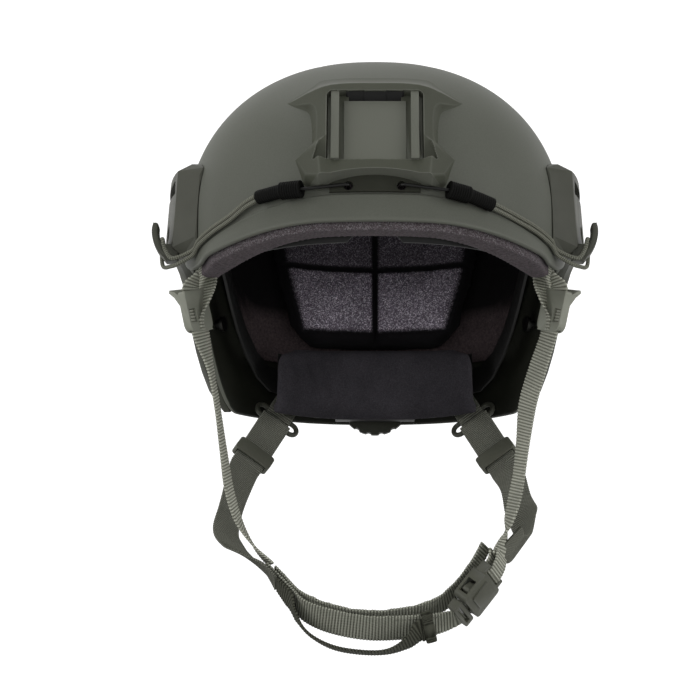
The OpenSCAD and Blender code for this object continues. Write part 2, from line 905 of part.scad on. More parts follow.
module dial_housing() {
    color(black)
        translate([0, 0, dial_z])
            difference() {
                translate([-24, rack_y - 2.4, -14.5])
                    cube([48, 11.2, 29]);
                translate([0, rack_y - gap, 0])
                    rotate([-90, 0, 0])
                        cylinder(h = rack_depth + 2 * gap, r = pitch_r + tooth_module + 0.5, $fn = 48);
                translate([0, rack_y, 0])
                    rotate([-90, 0, 0])
                        cylinder(h = 20, d = 6.6, $fn = 32);
                for (s = [0, 180]) {
                    rotate([0, s, 0])
                        translate([-30, rack_y - gap, pitch_r - tooth_module - 0.3])
                            cube([60, rack_depth + 2 * gap, rack_back - pitch_r + tooth_module + 0.6]);
                }
            }
}

// Involute flank: half the tooth's angle at radius r
function inv(a) = tan(a) - a * PI / 180;
function half_tooth(r) =
    let (base = pitch_r * cos(20), a = acos(min(1, base / r)))
    90 / pinion_teeth + (inv(20) - inv(a)) * 180 / PI - 1.6;

module pinion_profile() {
    tip = pitch_r + tooth_module * 0.95;
    root = pitch_r - tooth_module * 1.2;
    base = max(root, pitch_r * cos(20));
    rs = [base, (base + pitch_r) / 2, pitch_r, (pitch_r + tip) / 2, tip];
    polygon([
        for (k = [0 : pinion_teeth - 1])
            let (c = k * 360 / pinion_teeth)
            each concat(
                [root * [sin(c - half_tooth(base) - 1), cos(c - half_tooth(base) - 1)]],
                [for (r = rs) r * [sin(c - half_tooth(r)), cos(c - half_tooth(r))]],
                [for (i = [4 : -1 : 0]) rs[i] * [sin(c + half_tooth(rs[i])), cos(c + half_tooth(rs[i]))]],
                [root * [sin(c + half_tooth(base) + 1), cos(c + half_tooth(base) + 1)]]
            )
    ]);
}

module dial_pinion() {
    color(black)
        translate([0, rack_y, dial_z])
            rotate([-90, 0, 0]) {
                linear_extrude(rack_depth)
                    pinion_profile();
                cylinder(h = 12, d = 6, $fn = 32);
            }
}

module dial_knob() {
    color(dark_green)
        translate([0, rack_y + 9.3, dial_z])
            rotate([-90, 0, 0])
                difference() {
                    union() {
                        cylinder(h = 7, r = knob_r - 0.8, $fn = 96);
                        translate([0, 0, 1])
                            cylinder(h = 5, r = knob_r, $fn = 96);
                    }
                    translate([0, 0, -1])
                        cylinder(h = 4, d = 6.4, $fn = 32);
                    for (k = [0 : 17]) {
                        rotate(k * 20)
                            translate([knob_r + 0.7, 0, -1])
                                cylinder(h = 10, r = 1.8, $fn = 24);
                    }
                }
}

module rack() {
    m = tooth_module;
    p = PI * m;
    a = m * tan(20);
    reach = half_width - 66;
    color(black)
        translate([0, rack_y + rack_depth, dial_z])
            rotate([90, 0, 0])
                linear_extrude(rack_depth)
                    polygon(concat(
                        [[-reach, rack_back], [-reach, -3], [8 - reach, -3], [12 - reach, pitch_r + 1.25 * m]],
                        [
                            for (k = [-5 : 1])
                                let (c = (k + 0.5) * p, w = p / 4 - 0.08)
                                each [
                                    [c - w - 1.25 * a, pitch_r + 1.25 * m],
                                    [c - w + 0.9 * a, pitch_r - 0.9 * m],
                                    [c + w - 0.9 * a, pitch_r - 0.9 * m],
                                    [c + w + 1.25 * a, pitch_r + 1.25 * m]
                                ]
                        ],
                        [[10, pitch_r + 1.25 * m], [10, rack_back]]
                    ));
}

module rack_right() {
    translate([0, 0, dial_z])
        rotate([0, 180, 0])
            translate([0, 0, -dial_z])
                rack();
}

// Webbing: stations are x, y, z and the direction of the width. They are placed on a dome with these
// half axes, and move with the dome when it changes.
drawn_half = 108;
drawn_reach = 132;

function fit(p) =
    [p[0] * half_width / drawn_half, p[1] * (p[1] < 0 ? front_reach : rear_reach) / drawn_reach, p[2]];
function fit_line(stations) = [for (s = stations) concat(fit(s), [s[3]])];

// Side-release buckle: origin at the webbing end of its male half, +Y toward the other end
buckle_at = fit([45.5, -7, -216]);
buckle_wide = [0.33, 0.9, -0.3];
buckle_out = [0.717, -0.443, -0.5415];
buckle_bar = 31.4;

function buckle_point(p) =
    let (zz = unit(buckle_out), xx = unit(buckle_wide - (buckle_wide * zz) * zz), yy = cross(zz, xx))
    buckle_at + xx * p[0] + yy * p[1] + zz * p[2];

function side_x(y, z) = dome_x(y, z, -(shell_wall + 2.2));
function side_line(side) = [
    for (s = [[2, 0.17], [-8, 0.17], [-18, 0.12]]) [side * side_x(-38, s[0]), -38, s[0], [side * s[1], 1, 0]]
];

front_left_line = concat(side_line(-1), fit_line([
    [-99.4, -37, -27, [-0.02, 1, 0]],
    [-102.9, -35.2, -35, [0.5, 0.85, 0.1]],
    [-100, -33, -48, [0.55, 0.82, 0.24]],
    [-97, -30.8, -61, [0.5, 0.85, 0.24]],
    [-91.5, -26.5, -79, [0.35, 0.93, 0.2]],
    [-86, -20.5, -101, [0.25, 0.95, 0.15]],
    [-82, -15, -122, [0.28, 0.95, 0.1]],
    [-79, -9, -145, [0.35, 0.93, 0]],
    [-74, -4, -163, [0.3, 0.93, -0.1]],
    [-67, 0, -177, [0.2, 0.93, -0.25]]
]));
front_right_line = concat(side_line(1), fit_line([
    [99.4, -37, -27, [0.02, 1, 0]],
    [102.9, -35.2, -35, [-0.5, 0.85, 0.1]],
    [100, -33, -48, [-0.55, 0.82, 0.24]],
    [97, -30.8, -61, [-0.5, 0.85, 0.24]],
    [91, -26, -79, [-0.55, 0.82, 0.2]],
    [85.5, -20, -98, [-0.55, 0.82, 0.15]],
    [83, -14.5, -118, [-0.4, 0.9, 0.1]],
    [80.8, -11, -136, [-0.35, 0.93, 0.1]],
    [78.2, -8.6, -150, [-0.4, 0.92, 0]],
    [75, -7, -162, [-0.3, 0.94, -0.1]],
    [72.2, -4.6, -171.5, [0.15, 0.95, -0.15]]
]), [
    concat(buckle_point([0, buckle_bar + 12.2, -4]), [buckle_wide]),
    concat(buckle_point([0, buckle_bar + 8.2, -1.9]), [buckle_wide])
]);
junction_line = fit_line([
    [-60, 3, -187, [0.15, 0.93, -0.3]],
    [-53, 1, -196, [0.02, 0.9, -0.42]],
    [-46, -2, -205, [-0.05, 0.82, -0.56]]
]);
rear_ring_at = fit([59, 95, -88]);
rear_long = [0.805, -0.17, 0.568];
rear_way = [0.363, -0.614, -0.698];
rear_out = cross(rear_long, rear_way);
slider_at = 35.8;

function rear_point(y, side) =
    let (p = rear_ring_at + rear_way * y)
    [side * p[0], p[1], p[2]];

rear_left_line = concat([
    concat(rear_point(36.6, -1), [[0.805, 0.17, -0.568]]),
    concat(rear_point(43, -1), [[0.805, 0.17, -0.568]]),
    concat(rear_point(50, -1), [[0.78, 0.35, -0.5]])
], fit_line([
    [-81, 53, -137, [0.65, 0.7, -0.25]],
    [-84, 42, -152, [0.55, 0.83, -0.05]],
    [-85, 30, -165, [0.55, 0.82, 0.12]],
    [-80, 19, -174, [0.5, 0.85, 0.05]],
    [-71, 9, -180, [0.35, 0.92, -0.15]]
]));
rear_right_line = concat([
    concat(rear_point(36.6, 1), [[0.805, -0.17, 0.568]]),
    concat(rear_point(43, 1), [[0.805, -0.17, 0.568]]),
    concat(rear_point(50, 1), [[0.8, 0.1, 0.55]])
], fit_line([
    [82, 53, -138, [0.7, 0.6, 0.35]],
    [86, 41, -157, [0.5, 0.75, 0.4]],
    [85.4, 31.5, -168.5, [0.5, 0.6, -0.62]],
    [82.4, 22.5, -174, [0.2, 0.37, -0.9]],
    [79, 13, -175.5, [-0.1, 0.1, -0.98]],
    [77.2, 5, -173.4, [-0.22, 0.1, -0.96]],
    [75.9, 0, -171, [-0.22, 0.1, -0.96]]
]));
chin_line = fit_line([
    [-39, -6, -212.5, [0, 0.72, -0.68]],
    [-25, -10, -218.5, [0, 0.62, -0.78]],
    [-5, -12, -222.5, [0.03, 0.62, -0.78]],
    [14, -11.2, -222.4, [0.07, 0.64, -0.76]],
    [26, -9.8, -221.4, [0.13, 0.68, -0.7]],
    [34, -8.6, -220, [0.2, 0.76, -0.6]],
    [41.5, -7.4, -217.9, [0.28, 0.84, -0.45]]
]);
tail_line = fit_line([
    [-42, -4.2, -214.5, [0.15, 0.85, -0.5]],
    [-35.5, -6.5, -224.4, [0.28, 0.9, -0.35]],
    [-23.5, -9, -232, [0.16, 0.93, -0.35]],
    [-9, -11, -235.4, [0.1, 0.93, -0.35]],
    [6, -12, -235.4, [0.08, 0.93, -0.35]],
    [17, -12, -230.4, [0.12, 0.85, -0.5]],
    [23.4, -10.7, -223.2, [0.14, 0.72, -0.66]],
    [31, -9.1, -220.9, [0.17, 0.72, -0.65]]
]);
backing_line = fit_line([
    [-37, -5, -211.5, [-0.2, 0.8, -0.58]],
    [-18, -9.5, -217.5, [-0.05, 0.84, -0.54]],
    [1, -10.6, -219.2, [0, 0.86, -0.5]],
    [22, -9, -216.4, [0.1, 0.86, -0.48]],
    [37, -5.5, -210.5, [0.2, 0.88, -0.4]],
    [47.5, -3, -201.5, [0.28, 0.9, -0.3]],
    [57, -1.5, -189, [0.3, 0.93, -0.22]],
    [64, -1.5, -176.5, [0.3, 0.94, -0.18]]
]);

// Rests every layer 2.2 mm from the next where they are sewn together
layer = 2.2;

module front_strap(side) {
    color(web_green)
        difference() {
            if (side < 0) {
                web(concat(front_left_line, [junction_line[0]]), strap_width, web_thickness, 2, layer, true);
            } else {
                web(front_right_line, strap_width, web_thickness, 2);
            }
            mirrored(side)
                on_dome([dome_x(-38, -6), -38, -6])
                    translate([0, 0, -12])
                        cylinder(h = 20, d = screw_d + 0.6, $fn = 32);
        }
}

module chin_backing() {
    a = junction_line[0] * 0.68 + junction_line[1] * 0.32;
    color(web_green)
        web(concat([a], [junction_line[1], junction_line[2]], backing_line), strap_width, web_thickness, 3, layer);
}

module chin_strap() {
    color(web_green)
        web(concat(junction_line, chin_line), strap_width, web_thickness, 3);
}

module chin_tail() {
    color(web_green)
        web(concat([junction_line[1], junction_line[2]], tail_line), strap_width, web_thickness, 3, -layer);
}

module rear_strap(side) {
    color(web_green)
        if (side < 0) {
            last = junction_line[0] * 0.1 + junction_line[1] * 0.9;
            web(concat(rear_left_line, [junction_line[0], last]), rear_width, web_thickness, 3, -layer, true);
        } else {
            web(rear_right_line, rear_width, web_thickness, 3);
        }
}

ring_half = rear_width / 2 + 0.6;

module rear_frame(side) {
    mirrored(side)
        placed(rear_ring_at, rear_long, rear_out)
            children();
}

module nape_ring(side) {
    color(web_green)
        rear_frame(side)
            for (e = [-1, 1]) {
                translate([0, e * 3.9, 0])
                    rotate([0, 90, 0])
                        cylinder(h = 2 * ring_half, d = ring_wire, center = true, $fn = 32);
                translate([e * ring_half, 0, 0])
                    rotate(e * 90 - 90)
                        rotate([0, 0, -90])
                            rotate_extrude(angle = 180, $fn = 48)
                                translate([3.9, 0])
                                    circle(d = ring_wire, $fn = 32);
            }
}

// Half turn of webbing round a wire at y, opening toward way (1 or -1)
function round_wire(y, way, r) = [
    for (a = [-90 : 45 : 90]) [0, y - way * r * cos(a), way * r * sin(a), [1, 0, 0]]
];

module rear_loop(side) {
    r = (ring_wire + web_thickness) / 2 + gap;
    color(web_green)
        rear_frame(side)
            web(
                concat(
                    [[0, slider_at - 1.2, -1.15, [1, 0, 0]], [0, 24, -1.2, [1, 0, 0]], [0, 12, -1.8, [1, 0, 0]]],
                    round_wire(3.9, 1, r),
                    [[0, 12, 1.8, [1, 0, 0]], [0, 24, 1.2, [1, 0, 0]], [0, slider_at - 1.2, 1.15, [1, 0, 0]]]
                ),
                rear_width,
                web_thickness,
                2
            );
}

module nape_tab(side) {
    r = (ring_wire + web_thickness) / 2 + gap;
    color(web_green)
        difference() {
            rear_frame(side)
                web(
                    concat(
                        [[0, -25, 1.5, [1, 0, 0]], [0, -18, 1.9, [1, 0, 0]], [0, -10, 2.5, [1, 0, 0]]],
                        round_wire(-3.9, -1, r),
                        [[0, -10, -0.9, [1, 0, 0]], [0, -18, -0.4, [1, 0, 0]], [0, -25, -0.7, [1, 0, 0]]]
                    ),
                    strap_width,
                    web_thickness,
                    2
                );
            mirrored(side)
                on_dome([nape_screw_x, dome_y(nape_screw_x, nape_screw_z), nape_screw_z])
                    translate([0, 0, -20])
                        cylinder(h = 20, d = screw_d + 0.6, $fn = 32);
        }
}

module nape_screws() {
    color(black)
        for (s = [-1, 1]) {
            on_dome([s * nape_screw_x, dome_y(nape_screw_x, nape_screw_z), nape_screw_z]) {
                translate([0, 0, -9.5])
                    cylinder(h = 10, d = screw_d, $fn = 32);
                translate([0, 0, 0.4])
                    difference() {
                        cylinder(h = 2.4, d = 10, $fn = 40);
                        translate([0, 0, 1])
                            cylinder(h = 3, d = 4, $fn = 6);
                    }
            }
        }
}

module plate(w, l, t, r) {
    translate([0, 0, -t / 2])
        linear_extrude(t)
            offset(r = r, $fn = 32)
                square([w - 2 * r, l - 2 * r], center = true);
}

module rear_slider(side) {
    inner = 2 * 1.15 + web_thickness + 0.7;
    outer = inner + 2.2;
    color(dark_green)
        rear_frame(side)
            translate([0, slider_at, 0])
                difference() {
                    plate(rear_width + 5, 10, outer, 2);
                    cube([rear_width + 1.2, 40, inner], center = true);
                    translate([0, 0, outer / 2])
                        cube([rear_width - 0.6, 5.4, 3], center = true);
                }
}

module front_slider(side) {
    inner = web_thickness + 0.9;
    outer = inner + 2.4;
    color(pale_green)
        mirrored(side)
            placed(fit([100, -33, -48]), [-0.55, 0.82, 0.24], [-0.826, -0.581, 0.09])
                difference() {
                    union() {
                        plate(strap_width + 4.4, 23, outer, 5);
                        translate([0, -6, 0])
                            plate(strap_width + 4.4, 12, outer, 1.5);
                        rotate([90, 0, 90])
                            translate([0, 0, -strap_width / 2 - 2.2])
                                linear_extrude(strap_width + 4.4)
                                    polygon([[-10, -1.6], [-12.6, -4.4], [-14.4, -7.6], [-12.8, -8.2], [-9.6, -5.2], [-4, -2.2], [-4, -1.6]]);
                    }
                    cube([strap_width + 1.2, 40, inner], center = true);
                    translate([-strap_width / 4 - 2, 2, outer / 2])
                        cube([strap_width / 2 - 2, 8, 2.6], center = true);
                    translate([0, 3, -outer / 2])
                        cube([strap_width - 2, 5, 2.6], center = true);
                }
}

module chin_keeper() {
    p = fit([29.5, -9.3, -221]);
    color(web_green)
        placed(p, [0.16, 0.71, -0.66], [-0.2, 0.68, 0.66])
            translate([0, 0, -1.1])
                difference() {
                    plate(strap_width + 3.8, 6, 7.4, 1.2);
                    cube([strap_width + 1.4, 10, 5.2], center = true);
                }
}

module buckle_frame() {
    placed(buckle_at, buckle_wide, buckle_out)
        children();
}

module buckle_housing() {
    color(dark_green)
        buckle_frame()
            difference() {
                union() {
                    translate([0, 18, 0])
                        plate(25, 20, 9, 2.5);
                    translate([0, 18.6, 4.4])
                        plate(14, 13, 2, 1.5);
                    for (s = [-1, 1]) {
                        translate([s * 10.7, 29.7, 0])
                            plate(3.4, 7, 5, 1.2);
                    }
                    translate([0, buckle_bar, 0])
                        rotate([0, 90, 0])
                            cylinder(h = 21, d = 3, center = true, $fn = 32);
                }
                translate([-9.9, 7, -2.9])
                    cube([19.8, 15.5, 5.8]);
                for (s = [-1, 1]) {
                    translate([s * 11.5, 16.2, 0])
                        cube([8, 8.8, 5.8], center = true);
                }
            }
}

module buckle_insert() {
    color(dark_green)
        buckle_frame()
            difference() {
                union() {
                    translate([0, 3.4, 0])
                        plate(23.6, 6.8, 5.4, 1.5);
                    translate([-2.2, 5, -1.8])
                        cube([4.4, 12.5, 3.6]);
                }
                translate([0, 3, 0])
                    cube([strap_width + 1.2, 2.6, 8], center = true);
            }
}

module buckle_prong(side) {
    color(dark_green)
        buckle_frame()
            scale([side, 1, 1])
                translate([0, 0, -2.4])
                    linear_extrude(4.8)
                        polygon([
                            [3.6, 7.1], [7.2, 7.1], [7.4, 12.2], [11.6, 13.4], [11.9, 15], [9.6, 19.2],
                            [6.4, 20], [5, 18], [4.4, 10]
                        ]);
}

module buckle_tab() {
    r = (3 + web_thickness) / 2 + gap;
    color(web_green)
        buckle_frame()
            web(
                concat(
                    [[0, buckle_bar + 11.6, -1.6, [1, 0, 0]], [0, buckle_bar + 6.7, 1.2, [1, 0, 0]]],
                    [for (a = [90 : -45 : -90]) [0, buckle_bar - r * cos(a), r * sin(a), [1, 0, 0]]],
                    [[0, buckle_bar + 5.3, -3, [1, 0, 0]], [0, buckle_bar + 10.2, -6.2, [1, 0, 0]]]
                ),
                strap_width,
                web_thickness,
                2
            );
}

shell();
front_mount();
mount_seat();
mount_gasket();
mount_screws();
rail(-1);  // rail_left
rail(1);  // rail_right
rail_screws(-1);  // rail_screws_left
rail_screws(1);  // rail_screws_right
bungee(-1, bungee_left_line);  // bungee_left
bungee(1, bungee_right_line);  // bungee_right
bungee_sleeve(-1, bungee_left_line, -2.4, -2.4);  // bungee_sleeve_left
bungee_sleeve(1, bungee_right_line, -2.6, -4.6);  // bungee_sleeve_right
bungee_hook(-1, -2.4, -2.4);  // bungee_hook_left
bungee_hook(1, -2.6, -4.6);  // bungee_hook_right
lining();
brow_foam();
headband();
brow_pad();
crown_pad();
side_pad(-1);  // side_pad_left
side_pad(1);  // side_pad_right
nape_cradle();
nape_pad();
nape_screws();
dial_housing();
dial_knob();
dial_pinion();
rack();  // rack_left
rack_right();
front_strap(-1);  // front_strap_left
front_strap(1);  // front_strap_right
front_slider(-1);  // front_slider_left
front_slider(1);  // front_slider_right
nape_tab(-1);  // nape_tab_left
nape_tab(1);  // nape_tab_right
nape_ring(-1);  // nape_ring_left
nape_ring(1);  // nape_ring_right
rear_loop(-1);  // rear_loop_left
rear_loop(1);  // rear_loop_right
rear_slider(-1);  // rear_slider_left
rear_slider(1);  // rear_slider_right
rear_strap(-1);  // rear_strap_left
rear_strap(1);  // rear_strap_right
chin_backing();
chin_strap();
chin_tail();
chin_keeper();
buckle_housing();
buckle_insert();
buckle_prong(1);  // buckle_prong_upper
buckle_prong(-1);  // buckle_prong_lower
buckle_tab();
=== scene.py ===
import json
import math

import bmesh
import bpy
import numpy as np
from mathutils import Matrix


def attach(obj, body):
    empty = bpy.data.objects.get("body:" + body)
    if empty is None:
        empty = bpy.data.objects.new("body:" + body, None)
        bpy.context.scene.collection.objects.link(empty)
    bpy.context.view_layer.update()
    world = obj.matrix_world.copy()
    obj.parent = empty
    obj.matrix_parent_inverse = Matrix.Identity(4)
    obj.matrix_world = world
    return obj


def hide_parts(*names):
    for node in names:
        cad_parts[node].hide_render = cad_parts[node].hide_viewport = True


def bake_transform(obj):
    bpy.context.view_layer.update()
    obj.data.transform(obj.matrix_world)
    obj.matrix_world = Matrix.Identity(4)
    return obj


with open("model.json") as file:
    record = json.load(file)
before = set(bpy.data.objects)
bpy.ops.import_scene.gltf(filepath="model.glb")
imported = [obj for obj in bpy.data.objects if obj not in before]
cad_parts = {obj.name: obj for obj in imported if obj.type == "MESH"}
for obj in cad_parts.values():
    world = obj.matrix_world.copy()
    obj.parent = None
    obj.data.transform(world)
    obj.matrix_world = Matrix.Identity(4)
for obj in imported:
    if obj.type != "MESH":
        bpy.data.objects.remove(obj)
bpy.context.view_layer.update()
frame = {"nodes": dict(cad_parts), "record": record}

# The view. The helmet hangs in front of a pale backdrop and is seen from a little below, from
# 1.6 m away through a long lens, as a catalogue picture is taken. The small shift is its framing.
def held(name, data):
    """An object in the scene for a mesh, a lamp or a camera."""
    made = bpy.data.objects.new(name, data)
    bpy.context.scene.collection.objects.link(made)
    return made


camera = held("camera", bpy.data.cameras.new("camera"))
camera.location = (0, -1.559, -0.360)
camera.rotation_euler = (math.radians(90 + 10.8), 0, 0)
camera.data.sensor_width = 36
camera.data.lens = 143.4
camera.data.shift_x = -0.0357
camera.data.shift_y = -0.0021
bpy.context.scene.camera = camera

# The room. A pale floor lies below the strap and turns up into a white wall; four large soft lamps
# light the helmet from above, both sides and in front, and little light comes back from below.
MM = 0.001


def linear(code, alpha=1.0):
    """An sRGB hex colour as linear numbers: c / 12.92 below 0.04045, else ((c + 0.055) / 1.055) ** 2.4."""
    c = np.array([int(code[i : i + 2], 16) for i in (1, 3, 5)]) / 255
    c = np.where(c <= 0.04045, c / 12.92, ((c + 0.055) / 1.055) ** 2.4)
    return (*c.tolist(), alpha)


def add(tree, kind, inputs=None, **settings):
    """Adds a shader node, sets its properties, and sets or links its inputs by name or number. A node that is
    given as an input is linked by the first of its outputs that is in use."""
    made = tree.nodes.new("ShaderNode" + kind)
    for key, value in settings.items():
        setattr(made, key, value)
    for key, value in (inputs or {}).items():
        if isinstance(value, bpy.types.Node):
            value = next(out for out in value.outputs if out.enabled)
        if isinstance(value, bpy.types.NodeSocket):
            tree.links.new(value, made.inputs[key])
        else:
            made.inputs[key].default_value = value
    return made


def new_material(name):
    """A material, its empty node tree and the Object coordinates in it."""
    made = bpy.data.materials.new(name)
    made.use_nodes = True
    made.node_tree.nodes.clear()
    return made, made.node_tree, add(made.node_tree, "TexCoord").outputs["Object"]


def shaded(made, inputs, relief=None, strength=0.0, depth=0.0):
    """Ends a material with its Principled shader and, where a relief is given, a bump of that depth in metres."""
    tree = made.node_tree
    if relief:
        inputs["Normal"] = add(tree, "Bump", {"Height": relief, "Strength": strength, "Distance": depth})
    add(tree, "OutputMaterial", {"Surface": add(tree, "BsdfPrincipled", inputs)})
    return made


def mesh_of(name, points, faces, flat=False):
    """A mesh from points in millimetres and, for each face, the list of its points."""
    mesh = bpy.data.meshes.new(name)
    mesh.from_pydata((points * MM).tolist(), [], faces, shade_flat=flat)
    return mesh


def surface(name, points, around=False, along=False, caps=False, uv=None):
    """A mesh from a rows x columns x 3 array of points. around closes the columns into a ring, along closes the
    rows, and caps closes each end row with a fan to its middle. Faces look outward where rows run down and columns
    run to the right as seen from outside. uv is rows x columns x 2, in millimetres."""
    rows, cols, _ = points.shape
    index = np.arange(rows * cols).reshape(rows, cols)
    top, low = (index, np.roll(index, -1, 0)) if along else (index[:-1], index[1:])
    if around:
        a, b, c, d = top, np.roll(top, -1, 1), np.roll(low, -1, 1), low
    else:
        a, b, c, d = top[:, :-1], top[:, 1:], low[:, 1:], low[:, :-1]
    co, faces = points.reshape(-1, 3), [np.stack([a, d, c, b], -1).reshape(-1, 4)]
    if caps:
        for ring, turned in ((index[0], np.roll(index[0], -1)), (np.roll(index[-1], -1), index[-1])):
            faces.append(np.stack([ring, turned, np.full(cols, len(co))], -1))
            co = np.concatenate([co, co[ring].mean(0)[None]])
    mesh = mesh_of(name, co, [face for block in faces for face in block.tolist()])
    if uv is not None:
        flat = np.concatenate([uv.reshape(-1, 2), uv[0, :1], uv[-1, -1:]])
        corners = np.concatenate([f.ravel() for f in faces])
        mesh.uv_layers.new(name="UVMap").data.foreach_set("uv", (flat[corners] * MM).ravel())
    mesh.validate()
    return mesh


def seen_directly(tree):
    """1 for rays from the camera, from a gloss or through glass, and 0 for the rest."""
    path = add(tree, "LightPath").outputs
    seen = add(tree, "Math", {0: path["Is Camera Ray"], 1: path["Is Glossy Ray"]}, operation="MAXIMUM")
    return add(tree, "Math", {0: seen, 1: path["Is Transmission Ray"]}, operation="MAXIMUM")


def studio_white():
    """Matt painted board. The camera and gloss see it white, and the floor keeps the helmet's soft shadow. The light
    that it returns to the helmet is that of mid grey board, so that undersides stay dark."""
    made, tree, place = new_material("painted_backdrop_board")
    board = add(tree, "BsdfPrincipled", {"Base Color": linear("#a8a8a8"), "Roughness": 0.9})
    level = add(tree, "SeparateXYZ", {0: place}).outputs["Z"]
    wall = add(tree, "MapRange", {"Value": level, "From Min": -0.42, "From Max": 0.1, "To Min": 0.86})
    white = add(tree, "Emission", {"Color": (1, 1, 1, 1), "Strength": wall})
    both = add(tree, "AddShader", {0: board, 1: white})
    mix = add(tree, "MixShader", {0: seen_directly(tree), 1: board, 2: both})
    add(tree, "OutputMaterial", {"Surface": mix})
    return made


run = np.linspace(0, 1, 60)
bend = np.clip((run - 0.4) / 0.25, 0, 1) * math.pi / 2
depth = -3200 + np.where(run < 0.4, run / 0.4, 1) * 4400 + 1100 * np.sin(bend)
rise = -420 + 1100 * (1 - np.cos(bend)) + np.clip((run - 0.65) / 0.35, 0, 1) * 2600
sheet = np.stack(np.broadcast_arrays(np.linspace(-3500, 3500, 12)[None], depth[:, None], rise[:, None]), -1)
backdrop = held("backdrop", surface("backdrop", sheet[::-1]))
backdrop.data.materials.append(studio_white())

bpy.context.scene.view_settings.view_transform = "Standard"
world = bpy.data.worlds.new("soft_room")
bpy.context.scene.world = world
world.use_nodes = True
room = world.node_tree.nodes["Background"]
room.inputs["Color"].default_value = (1, 1, 1, 1)
bright = add(world.node_tree, "MapRange", {"Value": seen_directly(world.node_tree), "To Min": 0.25})
world.node_tree.links.new(bright.outputs[0], room.inputs["Strength"])

# Each softbox: its place and what it looks at, in metres, its width and height, and its watts.
for name, place, aim, width, height, watts in (
    ("lamp_top", (-0.3, 0.0, 1.6), (0, 0, 0), 1.6, 1.2, 9),
    ("lamp_left", (-1.6, -0.9, 0.25), (0, 0, -0.05), 0.9, 1.3, 13),
    ("lamp_right", (1.6, -0.9, 0.25), (0, 0, -0.05), 0.9, 1.3, 13),
    ("lamp_front", (0.0, -2.4, -0.35), (0, 0, -0.1), 1.4, 0.8, 14),
):
    lamp = held(name, bpy.data.lights.new(name, "AREA"))
    lamp.data.shape, lamp.data.size, lamp.data.size_y, lamp.data.energy = "RECTANGLE", width, height, watts
    lamp.location = place
    x, y, z = np.array(aim) - np.array(place)
    lamp.rotation_euler = (math.pi / 2 + math.atan2(z, math.hypot(x, y)), 0, math.atan2(-x, y))

# The shell. Moulded fibre composite, 3.2 mm thick, trimmed, and sprayed with a matte coating that
# has fine grit in it. The brow has a rolled lip under a crease; vents sit in four shallow troughs.
HALF_WIDTH, REACH, CROWN = 108, 132, 97
WALL, BROW_FLARE, TROUGH = 3.2, 5, 2.5
PLAN_POWER, HEIGHT_POWER, SKIRT = 2.3, 2.2, 300
TROUGH_LINES = [np.array(ends, float) for ends in (((30, -44), (64, 8)), ((34, 72), (62, 34)))]
HOOK_HOLE, HOOK_LEVEL, HOOK_BORE = 14.0, -1, 5.0


def piece(name, mesh, material, body, slot, *stands_for):
    """Links a mesh as a piece that rides on a body, if one is named, and stands for CAD nodes."""
    made = held(name, mesh)
    mesh.materials.clear()
    mesh.materials.append(material)
    if body:
        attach(made, body)
    if stands_for:
        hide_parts(*stands_for)
    return made


def ease(t):
    """Smooth step: 3 s s - 2 s s s, with s held between 0 and 1."""
    s = np.clip(t, 0, 1)
    return s * s * (3 - 2 * s)


def fold(th):
    """An angle from the front, 0 to 180 on either side."""
    return np.abs((np.asarray(th, float) + 180) % 360 - 180)


def top_at(z, off=0.0):
    """The dome's half height: the crown's above the middle, and a long skirt below it."""
    return np.where(np.asarray(z) > 0, CROWN + off, SKIRT)


def ring_at(z, off=0.0):
    """What height z leaves of the dome's plan: 1 - (z / top) ** 2.2, and not below 0."""
    return np.maximum(0, 1 - (np.abs(z) / top_at(z, off)) ** HEIGHT_POWER)


def dome(th, z, off=0.0):
    """Point of the dome at direction th (0 forward, 90 right), height z, grown by off. Its plan is a superellipse of
    power 2.3, shrunk with height by one of power 2.2."""
    t = np.radians(th)
    plan = (np.abs(np.sin(t)) / (HALF_WIDTH + off)) ** PLAN_POWER + (np.abs(np.cos(t)) / (REACH + off)) ** PLAN_POWER
    r = ring_at(z, off) ** (1 / HEIGHT_POWER) / plan ** (1 / PLAN_POWER)
    return np.stack([r * np.sin(t), -r * np.cos(t), z + 0 * r], -1)


def dome_x(y, z, off=0.0):
    """Half width of the dome at depth y and height z."""
    rest = ring_at(z, off) ** (PLAN_POWER / HEIGHT_POWER) - (np.abs(y) / (REACH + off)) ** PLAN_POWER
    return (HALF_WIDTH + off) * np.maximum(0, rest) ** (1 / PLAN_POWER)


def dome_y(x, z, off=0.0):
    """Distance from the middle to the dome's front or rear at x and height z."""
    rest = ring_at(z, off) ** (PLAN_POWER / HEIGHT_POWER) - (np.abs(x) / (HALF_WIDTH + off)) ** PLAN_POWER
    return (REACH + off) * np.maximum(0, rest) ** (1 / PLAN_POWER)


def outward(p):
    """Unit normal of the dome: the slope of the superellipse at a point."""
    size = np.stack(np.broadcast_arrays(HALF_WIDTH, REACH, top_at(p[..., 2])), -1)
    a, b, c = np.moveaxis(np.abs(p) / size, -1, 0)
    k = np.maximum(a**PLAN_POWER + b**PLAN_POWER, 1e-9) ** (HEIGHT_POWER / PLAN_POWER - 1)
    n = np.stack([k * a ** (PLAN_POWER - 1), k * b ** (PLAN_POWER - 1), c ** (HEIGHT_POWER - 1)], -1)
    n = np.sign(p) * n / size
    return n / np.linalg.norm(n, axis=-1, keepdims=True)


def swing(th):
    """Unit direction level with the ground at th."""
    return np.stack([np.sin(np.radians(th)), -np.cos(np.radians(th)), 0 * th], -1)


def rim_z(th):
    """Height of the trimmed edge: low at the temples, high over the ears, lowest at the nape."""
    t = fold(th)
    return -19.5 - 8.5 * ease((t - 12) / 40) + 16 * ease((t - 58) / 34) - 73 * ease((t - 106) / 30)


